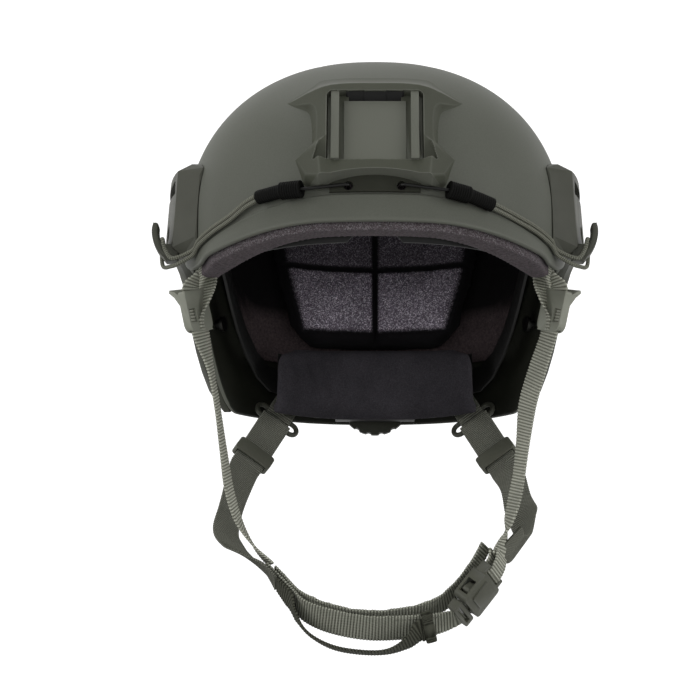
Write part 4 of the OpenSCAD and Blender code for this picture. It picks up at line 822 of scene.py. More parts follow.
def lining_surface():
    """Outer face down to the cut edge, round it, and back up the inner face. The edge's height is 24 mm over the brow,
    10 mm lower at the temples and 64 mm lower again behind."""
    turn = np.arange(0, 360, 2.5)[None]
    j = np.linspace(0.3, 11, 34)[:, None]
    low = 24 - 10 * ease((fold(turn) - 30) / 20) - 64 * ease((fold(turn) - 118) / 26)

    def rows(off, shrink):
        z = (CROWN + LINING_OFF) * np.sin(np.radians(90 * (1 - np.minimum(j, 8) / 9.6))) ** (2 / HEIGHT_POWER)
        z = z * (1 - shrink * (1 - ease((j - 7) / 1.5)))
        z = z + (low - z) * np.maximum(0, j - 8) / 3
        return dome(np.broadcast_to(turn, z.shape), z, off)

    outer, inner = rows(LINING_OFF, 0.0), rows(LINING_OFF - LINING, 0.028)[::-1]
    bead = (outer[-1] + inner[0]) / 2 + np.array([0, 0, -0.9])
    return surface("lining_surface", np.concatenate([outer, bead[None], inner]), around=True, caps=True)


felt = pad_cloth("needled_felt_mauve", "#352e30", "#4c4243", "#524849", 0.04, 1.4, "#0f0e0f")
felt_mesh = faced_out(lining_surface())
# Above a height of -16 mm the lining takes the near-black seam tone: painted shade inside the crown.
mark(felt_mesh, "panel", ease((PAINTED_SHADE_LOW - read(felt_mesh, "co")[:, 2] / MM) / 10))
piece("felt_lining", felt_mesh, felt, "helmet", "mauve_felt", "lining")

# The brow foam. Open-cell foam, about 10 mm thick, cut as a strip and glued inside the brow with its
# raw edge down. The cells of that edge catch the light as fine silvery specks along its outer side.
BROW_ENDS, FOAM_TOP, FOAM_THICK = 58, 10, 11


def brow_strip():
    """A rounded section carried round the brow from 58 degrees on one side to 58 on the other: it follows the shell's
    lip outside and the plain dome inside, and waves of 3 to 11 mm make its raw edge uneven by 0.4 mm."""
    t = np.linspace(-BROW_ENDS, BROW_ENDS, 260)[:, None]
    crease, rim = crease_z(t) + 1, rim_z(t)
    lip_middle = (crease - 1 + rim) / 2
    j = np.linspace(0, 4, 22)[None]
    z = np.where(j < 1, FOAM_TOP + (crease - FOAM_TOP) * j, crease + (lip_middle - crease) * (j - 1))
    z = np.where(j >= 2, lip_middle + (rim - lip_middle) * (j - 2), z)
    z = np.where(j >= 3, rim - 5.5 * (j - 3), z)
    tt = np.broadcast_to(t, z.shape)
    out = dome(tt, z, -(WALL + 0.8)) + lip(tt, np.maximum(z, rim))[..., None] * swing(tt)
    back = dome(tt, z, -(WALL + FOAM_THICK))
    k = np.linspace(0, 1, 9)[None, 1:-1, None]
    low = out[:, -1:] * (1 - k) + back[:, -1:] * k
    top = back[:, :1] * (1 - k) + out[:, :1] * k
    loop = np.concatenate([out, low, back[:, ::-1], top], 1)
    place = np.arange(loop.shape[1])[None]
    raw = np.exp(-((place - 25.5) / 5.5) ** 2)
    waves = ((0.22, 3.9, 1), (0.14, 9.1, 2), (0.1, 17.3, 0.7))
    uneven = sum(high * np.sin(t * pace + place * turns) for high, pace, turns in waves)
    round_off = 0.8 * (np.exp(-((place - 21) / 1.2) ** 2) + np.exp(-((place - 29) / 1.2) ** 2))
    loop[..., 2] += raw * uneven + round_off
    return surface("brow_foam_surface", loop, around=True, caps=True)


def open_foam():
    """Raw foam: mauve-brown cells 1.2 mm across, dark in their pits. Round its outer edge the cell walls shine as
    silvery specks; the edge is marked in the attribute speckle."""
    made, tree, place = new_material("open_cell_foam_mauve")
    cell = add(tree, "TexVoronoi", {"Vector": place, "Scale": 2600.0, "Randomness": 1.0})
    tuft = add(tree, "TexNoise", {"Vector": place, "Scale": 600.0, "Detail": 4.0, "Roughness": 0.75})
    level = add(tree, "MapRange", {"Value": tuft, "From Min": 0.35, "From Max": 0.65})
    tone = add(tree, "Mix", {0: level, 6: linear("#342e30"), 7: linear("#574e52")}, data_type="RGBA")
    edge = add(tree, "Attribute", attribute_name="speckle").outputs["Fac"]
    spot = add(tree, "SeparateColor", {0: cell.outputs["Color"]})
    bright = add(tree, "MapRange", {"Value": spot, "From Min": 0.66, "From Max": 0.98})
    share = add(tree, "Math", {0: bright, 1: edge}, operation="MULTIPLY")
    tone = add(tree, "Mix", {0: share, 6: tone, 7: linear("#8a8688")}, data_type="RGBA")
    return shaded(made, {"Base Color": tone, "Roughness": 0.95}, tuft, 0.8, 0.0006)


# The specks fade with the distance from a line 1.6 mm outside the plain dome.
foam_mesh = faced_out(brow_strip())
co = read(foam_mesh, "co") / MM
plain = dome(np.degrees(np.arctan2(co[:, 0], -co[:, 1])), co[:, 2])
gone_in = np.hypot(plain[:, 0], plain[:, 1]) - np.hypot(co[:, 0], co[:, 1])
mark(foam_mesh, "speckle", np.exp(-((gone_in + 1.6) / 1.7) ** 2))
piece("brow_foam_strip", foam_mesh, open_foam(), "helmet", "mauve_felt", "brow_foam")

# The head band. A moulded nylon strap, 1.8 mm thick, stands off the shell on four studs and is open
# at the nape, where its toothed ends run into the dial. The nape cradle is a curved plate of the same.
black_nylon = moulded("moulded_nylon_black", "#0c0c0b", 0.55, 0.7, 0.04, "#161615", 0.2)
for name in ("headband", "nape_cradle"):
    piece("moulded_" + name, rounded_copy(name, 0.35, 40), black_nylon, "helmet", "black_nylon", name)

# The pads. Slabs of comfort foam sewn into brushed knit covers and blown up here as cloth, with the
# seams pressed in afterwards. The crown pad is one quilt of four cushions inside a stitched border.
CHANNEL, CROWN_PAD_TOP, CROWN_PAD_LOW, BORDER = 7, 62, -42, 10.5
NAPE_OFF, NAPE_LOW, NAPE_TALL = -29.4, -89, 44.5


def puff(u, v):
    """Thickness share of a cushion: full in the middle, and drawn in at its sides by the fifth powers of u and v."""
    side = np.sqrt(np.maximum(0, 1 - np.abs(u) ** 5))
    return 0.4 + 0.6 * side * np.sqrt(np.maximum(0, 1 - np.abs(v) ** 5))


def quilt(name, outer, depth):
    """A closed pad between a grid on its back and the same grid moved inward along the dome's normal by depth."""
    front = outer - outward(outer) * depth[..., None]
    rows, cols, _ = outer.shape
    n = rows * cols
    index = np.arange(n).reshape(rows, cols)
    quads = np.stack([index[:-1, :-1], index[:-1, 1:], index[1:, 1:], index[1:, :-1]], -1).reshape(-1, 4)
    rim = np.concatenate([index[0, :-1], index[:-1, -1], index[-1, :0:-1], index[:0:-1, 0]])
    wall = np.stack([rim, np.roll(rim, -1), np.roll(rim, -1) + n, rim + n], -1)
    faces = np.concatenate([quads, quads[:, ::-1] + n, wall]).tolist()
    return faced_out(mesh_of(name, np.concatenate([outer.reshape(-1, 3), front.reshape(-1, 3)]), faces))


def swelled(node, outer, depth, cap, finer=1):
    """Blows a sewn cover up: the quilt is remeshed to even 4 mm cells, swells as cloth under pressure for 20 frames,
    and each point is held to the cap, in millimetres, and kept from moving outward into what it rests on. Then it is
    subdivided."""
    made = held(node, quilt(node, outer, depth))
    cells = made.modifiers.new("cells", "REMESH")
    cells.mode, cells.voxel_size = "VOXEL", 4.0 * MM
    mesh = applied(made)
    start = read(mesh, "co") / MM
    made = held(node, mesh.copy())
    cloth = made.modifiers.new("cloth", "CLOTH")
    cloth.settings.use_pressure = True
    cloth.settings.uniform_pressure_force = 4.0
    cloth.settings.effector_weights.gravity = 0.0
    cloth.point_cache.frame_start, cloth.point_cache.frame_end = 1, 20
    for frame_no in range(1, 21):
        bpy.context.scene.frame_set(frame_no)
    end = read(applied(made), "co") / MM
    bpy.context.scene.frame_set(1)
    move = end - start
    far = np.linalg.norm(move, axis=1, keepdims=True)
    move = move * np.minimum(1, cap / np.maximum(far, 1e-9))
    out = outward(start)
    move = move - out * np.maximum(0, (move * out).sum(1, keepdims=True))
    set_points(mesh, start + move)
    made = held(node + "_surface", mesh)
    smoother = made.modifiers.new("finer", "SUBSURF")
    smoother.levels = smoother.render_levels = finer
    mesh = applied(made)
    mesh.shade_smooth()
    return mesh


def set_points(mesh, points):
    """Moves the vertices of a mesh to points."""
    mesh.vertices.foreach_set("co", (points * MM).ravel())
    mesh.update()


def pad(name, mesh, cloth, slot, node, seams=None):
    """A finished pad. seams gives how far outward each point moves, so that seams sink in."""
    if seams:
        co = read(mesh, "co") / MM
        set_points(mesh, co + outward(co) * seams(co)[:, None])
    piece(name, mesh, cloth, "helmet", slot, node)


def crown_half(z):
    """Half width of the crown pad: 62 mm, wider upward, and cut off at the corners below its last 12 mm."""
    low = 12 * z / -CROWN_PAD_LOW - 9 * np.clip((-31 - z) / 11, 0, 1)
    return HALF_WIDTH / 2 + 8 + np.where(z > 0, 12 * z / CROWN_PAD_TOP, low)


def crown_border(x, z):
    """Distance to the nearest edge of the crown pad."""
    return np.minimum.reduce([crown_half(z) - np.abs(x), CROWN_PAD_TOP - z, z - CROWN_PAD_LOW])


def crown_channel(x, z):
    """Distance to the nearest of the crown pad's two stitched channels."""
    return np.minimum(np.abs(x), np.abs(z - CHANNEL))


def crown_seams(co):
    """A stitched valley along both channels, a second one 10.5 mm inside the border, and a small pucker every 4 mm."""
    x, z = co[:, 0], co[:, 2]
    border = crown_border(x, z)
    along = np.where(np.abs(x) > np.abs(z - 10), z, x)
    valleys = 1.5 * np.exp(-(crown_channel(x, z) / 1.3) ** 2)
    valleys += 1.9 * np.exp(-((border - BORDER) / 1.5) ** 2) * (1 + 0.25 * np.cos(along * 2 * math.pi / 4))
    folds = 0.5 * np.sin(x * 0.42 + 0.8 * np.sin(z * 0.11)) * np.clip(border / 14, 0, 1)
    return np.where(dome_y(x, z, PAD_OFF) - co[:, 1] > 3.5, valleys + folds, 0)


def nape_folds(co):
    """Faint upright folds 9 mm apart where the cover is drawn round the cradle."""
    level = np.clip(1 - np.abs(co[:, 2] + 66) / 21, 0, 1)
    folds = 0.35 * np.cos(co[:, 0] * 2 * math.pi / 9 + np.sin(co[:, 2] * 0.2)) * level
    return np.where(dome_y(co[:, 0], co[:, 2], NAPE_OFF) - co[:, 1] > 3, folds, 0)


grey_knit = pad_cloth("brushed_knit_grey_violet", "#544e57", "#8d8491", "#f2eaf6", 0.3, 1.0, "#161517")
dark_knit = pad_cloth("brushed_knit_dark_grey", "#2e2c30", "#3b393d", "#413f43", 0.05, 0.8)
black_knit = pad_cloth("brushed_knit_black", "#0b0b0c", "#171718", "#1f1f20", 0.05, 0.9)

u = np.linspace(-1, 1, 81)[None]
z = np.linspace(CROWN_PAD_TOP, CROWN_PAD_LOW, 75)[:, None]
x, z = np.broadcast_arrays(-u * crown_half(z), z)
near = np.clip(np.minimum(crown_border(x, z), crown_channel(x, z)), 0, 9) / 9
swell = 0.34 + 0.66 * np.sqrt(np.maximum(0, 1 - (1 - near) ** 2.4))
made = swelled("crown_pad", np.stack([x, dome_y(x, z, PAD_OFF), z], -1), 14.6 * swell, 1.6, 2)
x, _, z = (read(made, "co") / MM).T
inside_seams = ease((crown_border(x, z) - BORDER) / 2) * ease((crown_channel(x, z) - 1.2) / 1.8)
# Above the cross channel the top row is darkened 55% of the way to the seam tone: painted shade under the brow.
mark(made, "panel", inside_seams * (1 - 0.55 * ease((z - CHANNEL) / 3)))
pad("crown_cushion", made, grey_knit, "grey_pad_cloth", "crown_pad", crown_seams)

u, v = np.linspace(-1, 1, 49)[None], np.linspace(-1, 1, 31)[:, None]
for side, name in ((-1, "left"), (1, "right")):
    back = dome(*np.broadcast_arrays(88 + u * 27, 37 - v * 17), PAD_OFF + 0.6) * np.array([side, 1.0, 1.0])
    made = swelled("side_pad_" + name, back, 8.4 * puff(u, v), 1.0)
    pad("side_cushion_" + name, made, black_knit, "black_pad_cloth", "side_pad_" + name)

u, v = np.linspace(-1, 1, 81)[None], np.linspace(-1, 1, 35)[:, None]
z = NAPE_LOW + (1 - v) / 2 * (NAPE_TALL - 4 * np.abs(u) ** 2 - 8 * np.abs(u) ** 14)
x, z = np.broadcast_arrays(-u * (HALF_WIDTH - 47.5), z)
made = swelled("nape_pad", np.stack([x, dome_y(x, z, NAPE_OFF), z], -1), 12 * puff(u, v), 1.2)
pad("nape_cushion", made, dark_knit, "grey_pad_cloth", "nape_pad", nape_folds)

u, v = np.linspace(-1, 1, 91)[None], np.linspace(-1, 1, 29)[:, None]
back = dome(*np.broadcast_arrays(u * 48, -6 - v * 15), -18.6)
made = swelled("brow_pad", back, 7.4 * puff(u, v), 0.9)
pad("brow_cushion", made, black_knit, "black_pad_cloth", "brow_pad")

# The webbing. Flat nylon tape, 1.5 mm thick, woven with a rib across it and dyed olive: a coarse tape
# in front and under the chin, and a finer one behind. Each runs from the shell to where it is sewn below.
COARSE_RIB, FINE_RIB, RIB_RISE = 1.75, 1.2, 0.12
STRAP_WIDTH, REAR_WIDTH, TAPE, ROUND = 16.0, 19.0, 1.5, 0.5
LAYER = 2.2


def tape_frame(stations, shift=0.0, late=False, pitch=0.35, steps=24):
    """Along a strap: distance, centre, width direction v, face normal f and way t. f is t x w, and v is f x t."""
    c = smooth_line([s[:3] for s in stations], steps)
    w = smooth_line([s[3] for s in stations], steps)
    part = np.linspace(0, 1, len(c))
    t = unit(np.gradient(c, axis=0))
    f = unit(np.cross(t, w))
    move = shift * (ease((part - 0.6) / 0.3) if late else np.ones(len(c)))
    at, c, w = even(c + f * move[:, None], pitch, w)
    t = unit(np.gradient(c, axis=0))
    f = unit(np.cross(t, w))
    return at, c, unit(np.cross(f, t)), f, t


def tape_mesh(name, stations, width, shift=0.0, late=False, rib=COARSE_RIB, wave=None):
    """Webbing as a surface: a flat oval section carried along the strap. Its faces rise and fall by 0.12 mm with
    the ribs, as the cosine of distance over the rib's pitch, and its edges draw in between them. wave adds
    (across, out) sway."""
    at, c, v, f, t = tape_frame(stations, shift, late, rib / 5)
    a = np.radians(np.array([-70, -40, -15, 0, 15, 40, 70]))
    edge_u, edge_f = ROUND * np.cos(a), np.sin(a)
    flat, half = np.linspace(-1, 1, 9), width / 2 - ROUND
    u = np.concatenate([flat * half, half + edge_u, flat[::-1] * half, -half - edge_u])
    h = np.concatenate([np.ones(9), edge_f[::-1], -np.ones(9), edge_f])
    ribs = np.cos(2 * math.pi * at / rib)[:, None]
    rise = (TAPE / 2 - RIB_RISE + RIB_RISE * ribs) * h
    across = u + 0.16 * ribs * np.sign(u) * (np.abs(u) > half)
    if wave is not None:
        sway = wave(at)
        across, rise = across + sway[:, :1], rise + sway[:, 1:]
    p = c[:, None] + v[:, None] * across[..., None] + f[:, None] * rise[..., None]
    return surface(name, p, around=True, caps=True, uv=np.stack(np.broadcast_arrays(u[None], at[:, None]), -1))


def woven_tape(name, high, low, rib=COARSE_RIB):
    """Nylon webbing, woven and dyed: matt ribs, lighter on top where the yarn catches light and dark in the
    furrows, with the warp showing as short dashes 1.1 mm wide, drawn coarser than it is, and a little fuzz."""
    made, tree, place = new_material(name)
    uv = add(tree, "SeparateXYZ", {0: place.node.outputs["UV"]}).outputs
    phase = add(tree, "Math", {0: uv["Y"], 1: 2 * math.pi / (rib * MM)}, operation="MULTIPLY")
    ribs = add(tree, "Math", {0: phase}, operation="COSINE")
    yarn = add(tree, "Math", {0: uv["X"], 1: 2 * math.pi / 0.0011}, operation="MULTIPLY")
    shift = add(tree, "Math", {0: phase, 1: 0.5, 2: yarn}, operation="MULTIPLY_ADD")
    dash = add(tree, "Math", {0: shift}, operation="SINE")
    height = add(tree, "Math", {0: dash, 1: 0.35, 2: ribs}, operation="MULTIPLY_ADD")
    fuzz = add(tree, "TexNoise", {"Vector": place, "Scale": 1300.0, "Detail": 2.0})
    lot = add(tree, "TexNoise", {"Vector": place, "Scale": 45.0, "Detail": 2.0})
    level = add(tree, "MapRange", {"Value": height, "From Min": -1.2, "From Max": 1.2})
    level = add(tree, "Math", {0: fuzz, 1: 0.5, 2: level}, operation="MULTIPLY_ADD")
    level = add(tree, "Math", {0: level, 1: 0.25}, operation="SUBTRACT", use_clamp=True)
    tone = add(tree, "Mix", {0: level, 6: linear(low), 7: linear(high)}, data_type="RGBA")
    fade = add(tree, "MapRange", {"Value": lot, "From Min": 0.3, "From Max": 0.7, "To Min": 0.9, "To Max": 1.1})
    tone = add(tree, "Mix", {0: 1.0, 6: tone, 7: fade}, data_type="RGBA", blend_type="MULTIPLY")
    return shaded(made, {"Base Color": tone, "Roughness": 0.85, "Specular IOR Level": 0.12}, height, 0.5, 0.00025)


light_tape = woven_tape("woven_nylon_tape_coarse", "#cdcec0", "#6c6d61")
# The coarse tape in slightly darker tones under the chin: painted shade.
shaded_chin_tape = woven_tape("woven_nylon_tape_chin", "#b8baac", "#56574c")
# The coarse tape in darker tones: painted shade on the tail, whose face is seen from below; the keeper uses it too.
dark_tape = woven_tape("woven_nylon_tape_shaded", "#5c5d52", "#26271f")
fine_tape = woven_tape("woven_nylon_tape_fine", "#83847a", "#4b4c43", FINE_RIB)

BUCKLE_AT = np.array([45.5, -7, -216])
BUCKLE_WIDE, BUCKLE_OUT, BUCKLE_BAR = [0.33, 0.9, -0.3], [0.717, -0.443, -0.5415], 31.4
buckle_z = unit(BUCKLE_OUT)
buckle_x = unit(np.array(BUCKLE_WIDE) - (BUCKLE_WIDE @ buckle_z) * buckle_z)
buckle_y = np.cross(buckle_z, buckle_x)


def at_buckle(x, y, z):
    """A point of the buckle's own frame: x across, y from its male end to its female end, z outward."""
    return (BUCKLE_AT + buckle_x * x + buckle_y * y + buckle_z * z).tolist()


def mirrored(side, stations):
    """Stations drawn for the right side, for either side."""
    return [[side * x, y, z, [side * w[0], w[1], w[2]]] for x, y, z, w in stations]


# A strap's stations, each its centre and its width direction. Both front straps leave the shell and
# pass their slider alike; below it the left one lies on edge and the right one turns to the buckle.
on_shell = lambda z, w: [float(dome_x(-38, z, -(WALL + 2.2))), -38, z, [w, 1, 0]]
front_start = [
    on_shell(2, 0.17),
    on_shell(-8, 0.17),
    on_shell(-18, 0.12),
    [99.4, -37, -27, [0.02, 1, 0]],
    [102.9, -35.2, -35, [-0.5, 0.85, 0.1]],
    [100, -33, -48, [-0.55, 0.82, 0.24]],
    [97, -30.8, -61, [-0.5, 0.85, 0.24]],
]
front_left_line = mirrored(-1, front_start) + [
    [-92, -26.5, -79, [0.14, 0.97, 0.2]],
    [-88, -20.5, -101, [0.1, 0.98, 0.17]],
    [-85.6, -15, -122, [0.16, 0.98, 0.1]],
    [-83, -9, -145, [0.24, 0.96, 0.03]],
    [-78, -4, -163, [0.26, 0.95, -0.08]],
    [-69.6, 0, -177, [0.2, 0.93, -0.22]],
]
front_right_line = front_start + [
    [91, -26, -79, [-0.55, 0.82, 0.2]],
    [85.5, -20, -98, [-0.55, 0.82, 0.15]],
    [83, -14.5, -118, [-0.4, 0.9, 0.1]],
    [80.8, -11, -136, [-0.35, 0.93, 0.1]],
    [78.2, -8.6, -150, [-0.4, 0.92, 0]],
    [75, -7, -162, [-0.3, 0.94, -0.1]],
    [72.2, -4.6, -171.5, [0.15, 0.95, -0.15]],
    at_buckle(0, 43.6, -4) + [BUCKLE_WIDE],
    at_buckle(0, 39.6, -1.9) + [BUCKLE_WIDE],
]
junction_line = [
    [-60, 3, -187, [0.15, 0.93, -0.3]],
    [-53, 1, -196, [0.02, 0.9, -0.42]],
    [-46, -2, -205, [-0.05, 0.82, -0.56]],
]


def between(a, b, k):
    """A station part of the way from a to b."""
    return [a[i] * (1 - k) + b[i] * k for i in range(3)] + [(np.array(a[3]) * (1 - k) + np.array(b[3]) * k).tolist()]


RING_AT = np.array([59, 95, -88.0])
REAR_LONG = np.array([0.805, -0.17, 0.568])
REAR_WAY = np.array([0.363, -0.614, -0.698])


def rear_point(y, side):
    """A point y millimetres down the rear strap from the ring, on one side."""
    p = RING_AT + REAR_WAY * y
    return [side * p[0], p[1], p[2]]


rear_left_line = [
    rear_point(36.6, -1) + [[0.805, 0.17, -0.568]],
    rear_point(43, -1) + [[0.805, 0.17, -0.568]],
    rear_point(50, -1) + [[0.78, 0.35, -0.5]],
    [-81, 53, -137, [0.65, 0.7, -0.25]],
    [-84, 42, -152, [0.55, 0.83, -0.05]],
    [-85, 30, -165, [0.55, 0.82, 0.12]],
    [-80, 19, -174, [0.5, 0.85, 0.05]],
    [-71, 9, -180, [0.35, 0.92, -0.15]],
]
rear_right_line = [
    rear_point(36.6, 1) + [[0.805, -0.17, 0.568]],
    rear_point(43, 1) + [[0.805, -0.17, 0.568]],
    rear_point(50, 1) + [[0.8, 0.1, 0.55]],
    [82, 53, -138, [0.7, 0.6, 0.35]],
    [86, 41, -157, [0.5, -0.3, 0.5]],
    [85.4, 31.5, -168.5, [0.6, -0.79, 0.74]],
    [82.4, 22.5, -174, [0.55, -0.6, 0.76]],
    [79, 13, -175.5, [0.5, -0.2, 0.8]],
    [77.2, 5, -173.4, [0.56, -0.2, 0.8]],
    [75.9, 0, -171, [0.5, -0.2, 0.84]],
]
chin_line = [
    [-39, -6, -212.5, [0, 0.72, -0.68]],
    [-25, -10, -218.5, [0, 0.62, -0.78]],
    [-5, -12, -222.5, [0.03, 0.62, -0.78]],
    [14, -11.2, -222.4, [0.07, 0.64, -0.76]],
    [26, -9.8, -221.4, [0.13, 0.68, -0.7]],
    [34, -8.6, -220, [0.2, 0.76, -0.6]],
    [41.5, -7.4, -217.9, [0.28, 0.84, -0.45]],
    at_buckle(0, -0.6, 0) + [BUCKLE_WIDE],
    at_buckle(0, 3.6, 0) + [BUCKLE_WIDE],
]
tail_line = [
    [-42, -4.2, -214.5, [0.15, 0.85, -0.5]],
    [-35.5, -6.5, -223.6, [0.24, 0.95, -0.2]],
    [-23.5, -9, -230.6, [0.14, 0.98, -0.08]],
    [-9, -11, -233.6, [0.06, 0.99, -0.04]],
    [6, -12, -233.6, [0.0, 0.99, -0.06]],
    [17, -12, -229, [0.06, 0.93, -0.3]],
    [23.4, -10.7, -223.2, [0.14, 0.72, -0.66]],
    [31, -9.1, -220.9, [0.17, 0.72, -0.65]],
]
backing_line = [
    [-37, -5, -211.5, [-0.2, 0.8, -0.58]],
    [-18, -9.5, -217.5, [-0.05, 0.84, -0.54]],
    [1, -10.6, -219.2, [0, 0.86, -0.5]],
    [22, -9, -216.4, [0.1, 0.86, -0.48]],
    [37, -5.5, -210.5, [0.2, 0.88, -0.4]],
    [47.5, -3, -201.5, [0.28, 0.9, -0.3]],
    [57, -1.5, -189, [0.3, 0.93, -0.22]],
    [64, -1.5, -176.5, [0.3, 0.94, -0.18]],
]


def ragged(at):
    """Sway of a cut and loosely sewn edge: three sine waves of 17, 9 and 5 mm, 0.7 mm high in all."""
    turn = at * 2 * math.pi
    wave = 0.4 * np.sin(turn / 17) + 0.25 * np.sin(turn / 9 + 1) + 0.15 * np.sin(turn / 5 + 2)
    return np.stack([wave, 0.25 * wave], 1)


# Each strap: its stations, width, tape and rib, how far it is shifted off its line where it lies on another,
# whether it is shifted at its end only, and the sway of its edges.
join = lambda k: between(junction_line[0], junction_line[1], k)
backing_path = [join(0.32)] + junction_line[1:] + backing_line
chin_path = junction_line + chin_line
rear_left_path = rear_left_line + [junction_line[0], join(0.9)]
straps = {
    "front_strap_left": (front_left_line + junction_line[:1], STRAP_WIDTH, light_tape, COARSE_RIB, LAYER, True, None),
    "front_strap_right": (front_right_line, STRAP_WIDTH, light_tape, COARSE_RIB, 0.0, False, None),
    "rear_strap_left": (rear_left_path, REAR_WIDTH, fine_tape, FINE_RIB, -LAYER, True, None),
    "rear_strap_right": (rear_right_line, REAR_WIDTH, fine_tape, FINE_RIB, 0.0, False, None),
    "chin_backing": (backing_path, STRAP_WIDTH, shaded_chin_tape, COARSE_RIB, LAYER, False, ragged),
    "chin_strap": (chin_path, STRAP_WIDTH, shaded_chin_tape, COARSE_RIB, 0.0, False, None),
    "chin_tail": (junction_line[1:] + tail_line, STRAP_WIDTH, dark_tape, COARSE_RIB, -LAYER, False, None),
}
tapes = {}
for name, (stations, width, cloth, rib, shift, late, sway) in straps.items():
    made = tape_mesh(name, stations, width, shift, late, rib, sway)
    body = None if name in ("chin_strap", "chin_tail") else "helmet"
    tapes[name] = piece("tape_" + name, made, cloth, body, "webbing", name)

# The chin strap and its tail cross to the buckle's moving half. They ride on no body; their transforms are baked into
# their meshes.
for name in ("chin_strap", "chin_tail"):
    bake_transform(tapes[name])

# The folded leg. Behind each front slider the tape doubles back up to the shell, and its end is folded
# and sewn; it is seen from its edge. It is 1.5 mm nylon tape like the strap.
leg = [
    [98.0, -22, -2, [0.1, 1, 0]],
    [96.5, -24, -14, [0.35, 0.9, 0.1]],
    [95.0, -27, -28, [0.75, 0.62, 0.1]],
    [96.2, -29.5, -40, [0.6, 0.78, 0.2]],
    [95.6, -28.4, -50, [-0.2, 0.95, 0.2]],
    [94.2, -27.4, -57, [-0.3, 0.92, 0.24]],
]
for side, name in ((-1, "left"), (1, "right")):
    piece("folded_leg_" + name, tape_mesh("leg", mirrored(side, leg), STRAP_WIDTH), light_tape, "helmet", "webbing")

# The nape loops, tabs and buckle tab. Short lengths of the same tape, folded round a wire or a bar and
# sewn to themselves with a box of stitches.
TURN_R = (3.0 + TAPE) / 2 + 0.3
rear_x = unit(REAR_LONG)
rear_out = unit(np.cross(REAR_LONG, REAR_WAY))
rear_down = np.cross(rear_out, rear_x)


def in_rear_frame(points, side):
    """Stations of the ring's own frame (y down the strap, z outward) in the helmet's frame, for either side."""
    return mirrored(side, [(RING_AT + rear_down * y + rear_out * z).tolist() + [rear_x.tolist()] for y, z in points])


def round_bar(y, way, turn):
    """Half a turn round a bar at y: y less way r cos a, and r sin a."""
    return [(y - way * TURN_R * math.cos(a), turn * TURN_R * math.sin(a)) for a in np.radians(np.arange(-90, 91, 30))]


loop_out = [(12, 1.8), (24, 1.2), (34.6, 1.15)]
loop = [(34.6, -1.15), (24, -1.2), (12, -1.8)] + round_bar(3.9, 1, 1) + loop_out
tab = [(-25, 1.5), (-18, 1.9), (-10, 2.5)] + round_bar(-3.9, -1, -1) + [(-10, -0.9), (-18, -0.4), (-25, -0.7)]
for side, name in ((-1, "left"), (1, "right")):
    for kind, points, width, node in (("loop", loop, REAR_WIDTH, "rear_loop_"), ("tab", tab, STRAP_WIDTH, "nape_tab_")):
        made = tape_mesh(kind, in_rear_frame(points, side), width, rib=FINE_RIB)
        piece("folded_" + kind + "_" + name, made, fine_tape, "helmet", "webbing", node + name)
bar = BUCKLE_BAR
tab = [(bar + 11.6, -1.6), (bar + 6.7, 1.2)] + round_bar(bar, 1, -1) + [(bar + 5.3, -3), (bar + 10.2, -6.2)]
made = tape_mesh("buckle_tab", [at_buckle(0, y, z) + [buckle_x.tolist()] for y, z in tab], STRAP_WIDTH)
piece("folded_buckle_tab", made, light_tape, "helmet", "webbing", "buckle_tab")

# The keeper. A ring of narrow tape, 6 mm wide, sewn shut round the chin strap and its tail; it slides.
# Its section runs from the inner oval to the outer one and back, 16 points round.
KEEP_AT, KEEP_HALF, KEEP_ROUND = np.array([29.5, -9.3, -221]), 3.0, 16
keep_x, keep_z = unit([0.16, 0.71, -0.66]), unit([-0.2, 0.68, 0.66])
keep_x = unit(keep_x - (keep_x @ keep_z) * keep_z)
keep_y = np.cross(keep_z, keep_x)
turn = np.radians(np.arange(0, 360, 3.0))
oval = lambda a, b: np.stack([a * rounded_wave(turn + math.pi / 2, 0.32), b * rounded_wave(turn, 0.32)], 1)
ring_out, ring_in = oval(9.9, 3.7), oval(8.75, 2.65)
k = np.linspace(0, 2 * math.pi, KEEP_ROUND, endpoint=False)[:, None, None]
flat = ring_in + (ring_out - ring_in) * (0.5 + 0.5 * np.sin(k))
lean = KEEP_HALF * rounded_wave(k + math.pi / 2, 0.5) * keep_y
keeper_points = KEEP_AT + flat[..., :1] * keep_x + (flat[..., 1:] - 1.1) * keep_z + lean
across, length = np.linspace(-KEEP_HALF, KEEP_HALF, KEEP_ROUND), np.arange(len(turn)) * 0.45
keeper_uv = np.stack(np.broadcast_arrays(across[:, None], length), -1)
keeper_mesh = faced_out(surface("keeper_surface", keeper_points, around=True, along=True, uv=keeper_uv))
piece("tape_keeper", keeper_mesh, dark_tape, "buckle_half", "webbing", "chin_keeper")

# The stitching. Bonded nylon thread, 0.45 mm thick, in lock stitches 2.6 mm long: boxes where straps
# are sewn together, and a row along the chin strap beside its buckle.
STITCH, PITCH, STANDS_OFF = 2.6, 3.3, 0.82


def stitch_row(a, b, out):
    """Stitches between two points: a list of (centre, way, out), one every 3.3 mm."""
    n = max(2, int(round(np.linalg.norm(b - a) / PITCH)))
    return [(a + (b - a) * (k + 0.5) / n, unit(b - a), out) for k in range(n)]


def thread_mesh(stitches):
    """Each stitch is an oval bead: length 2.6, width 0.56 and height 0.44 mm, a 6-sided form of 5 rings."""
    k = np.array([-1.0, -0.7, 0.0, 0.7, 1.0])[:, None, None]
    swell = np.array([0.25, 0.85, 1.0, 0.85, 0.25])[:, None]
    turn = np.radians(np.arange(0, 360, 60))
    across, high = (swell * np.cos(turn))[..., None] * 0.28, (swell * np.sin(turn))[..., None] * 0.22
    beads = [centre + k * STITCH / 2 * way + across * np.cross(out, way) + high * out for centre, way, out in stitches]
    return faced_out(merged("thread", [rings(bead) for bead in beads]))


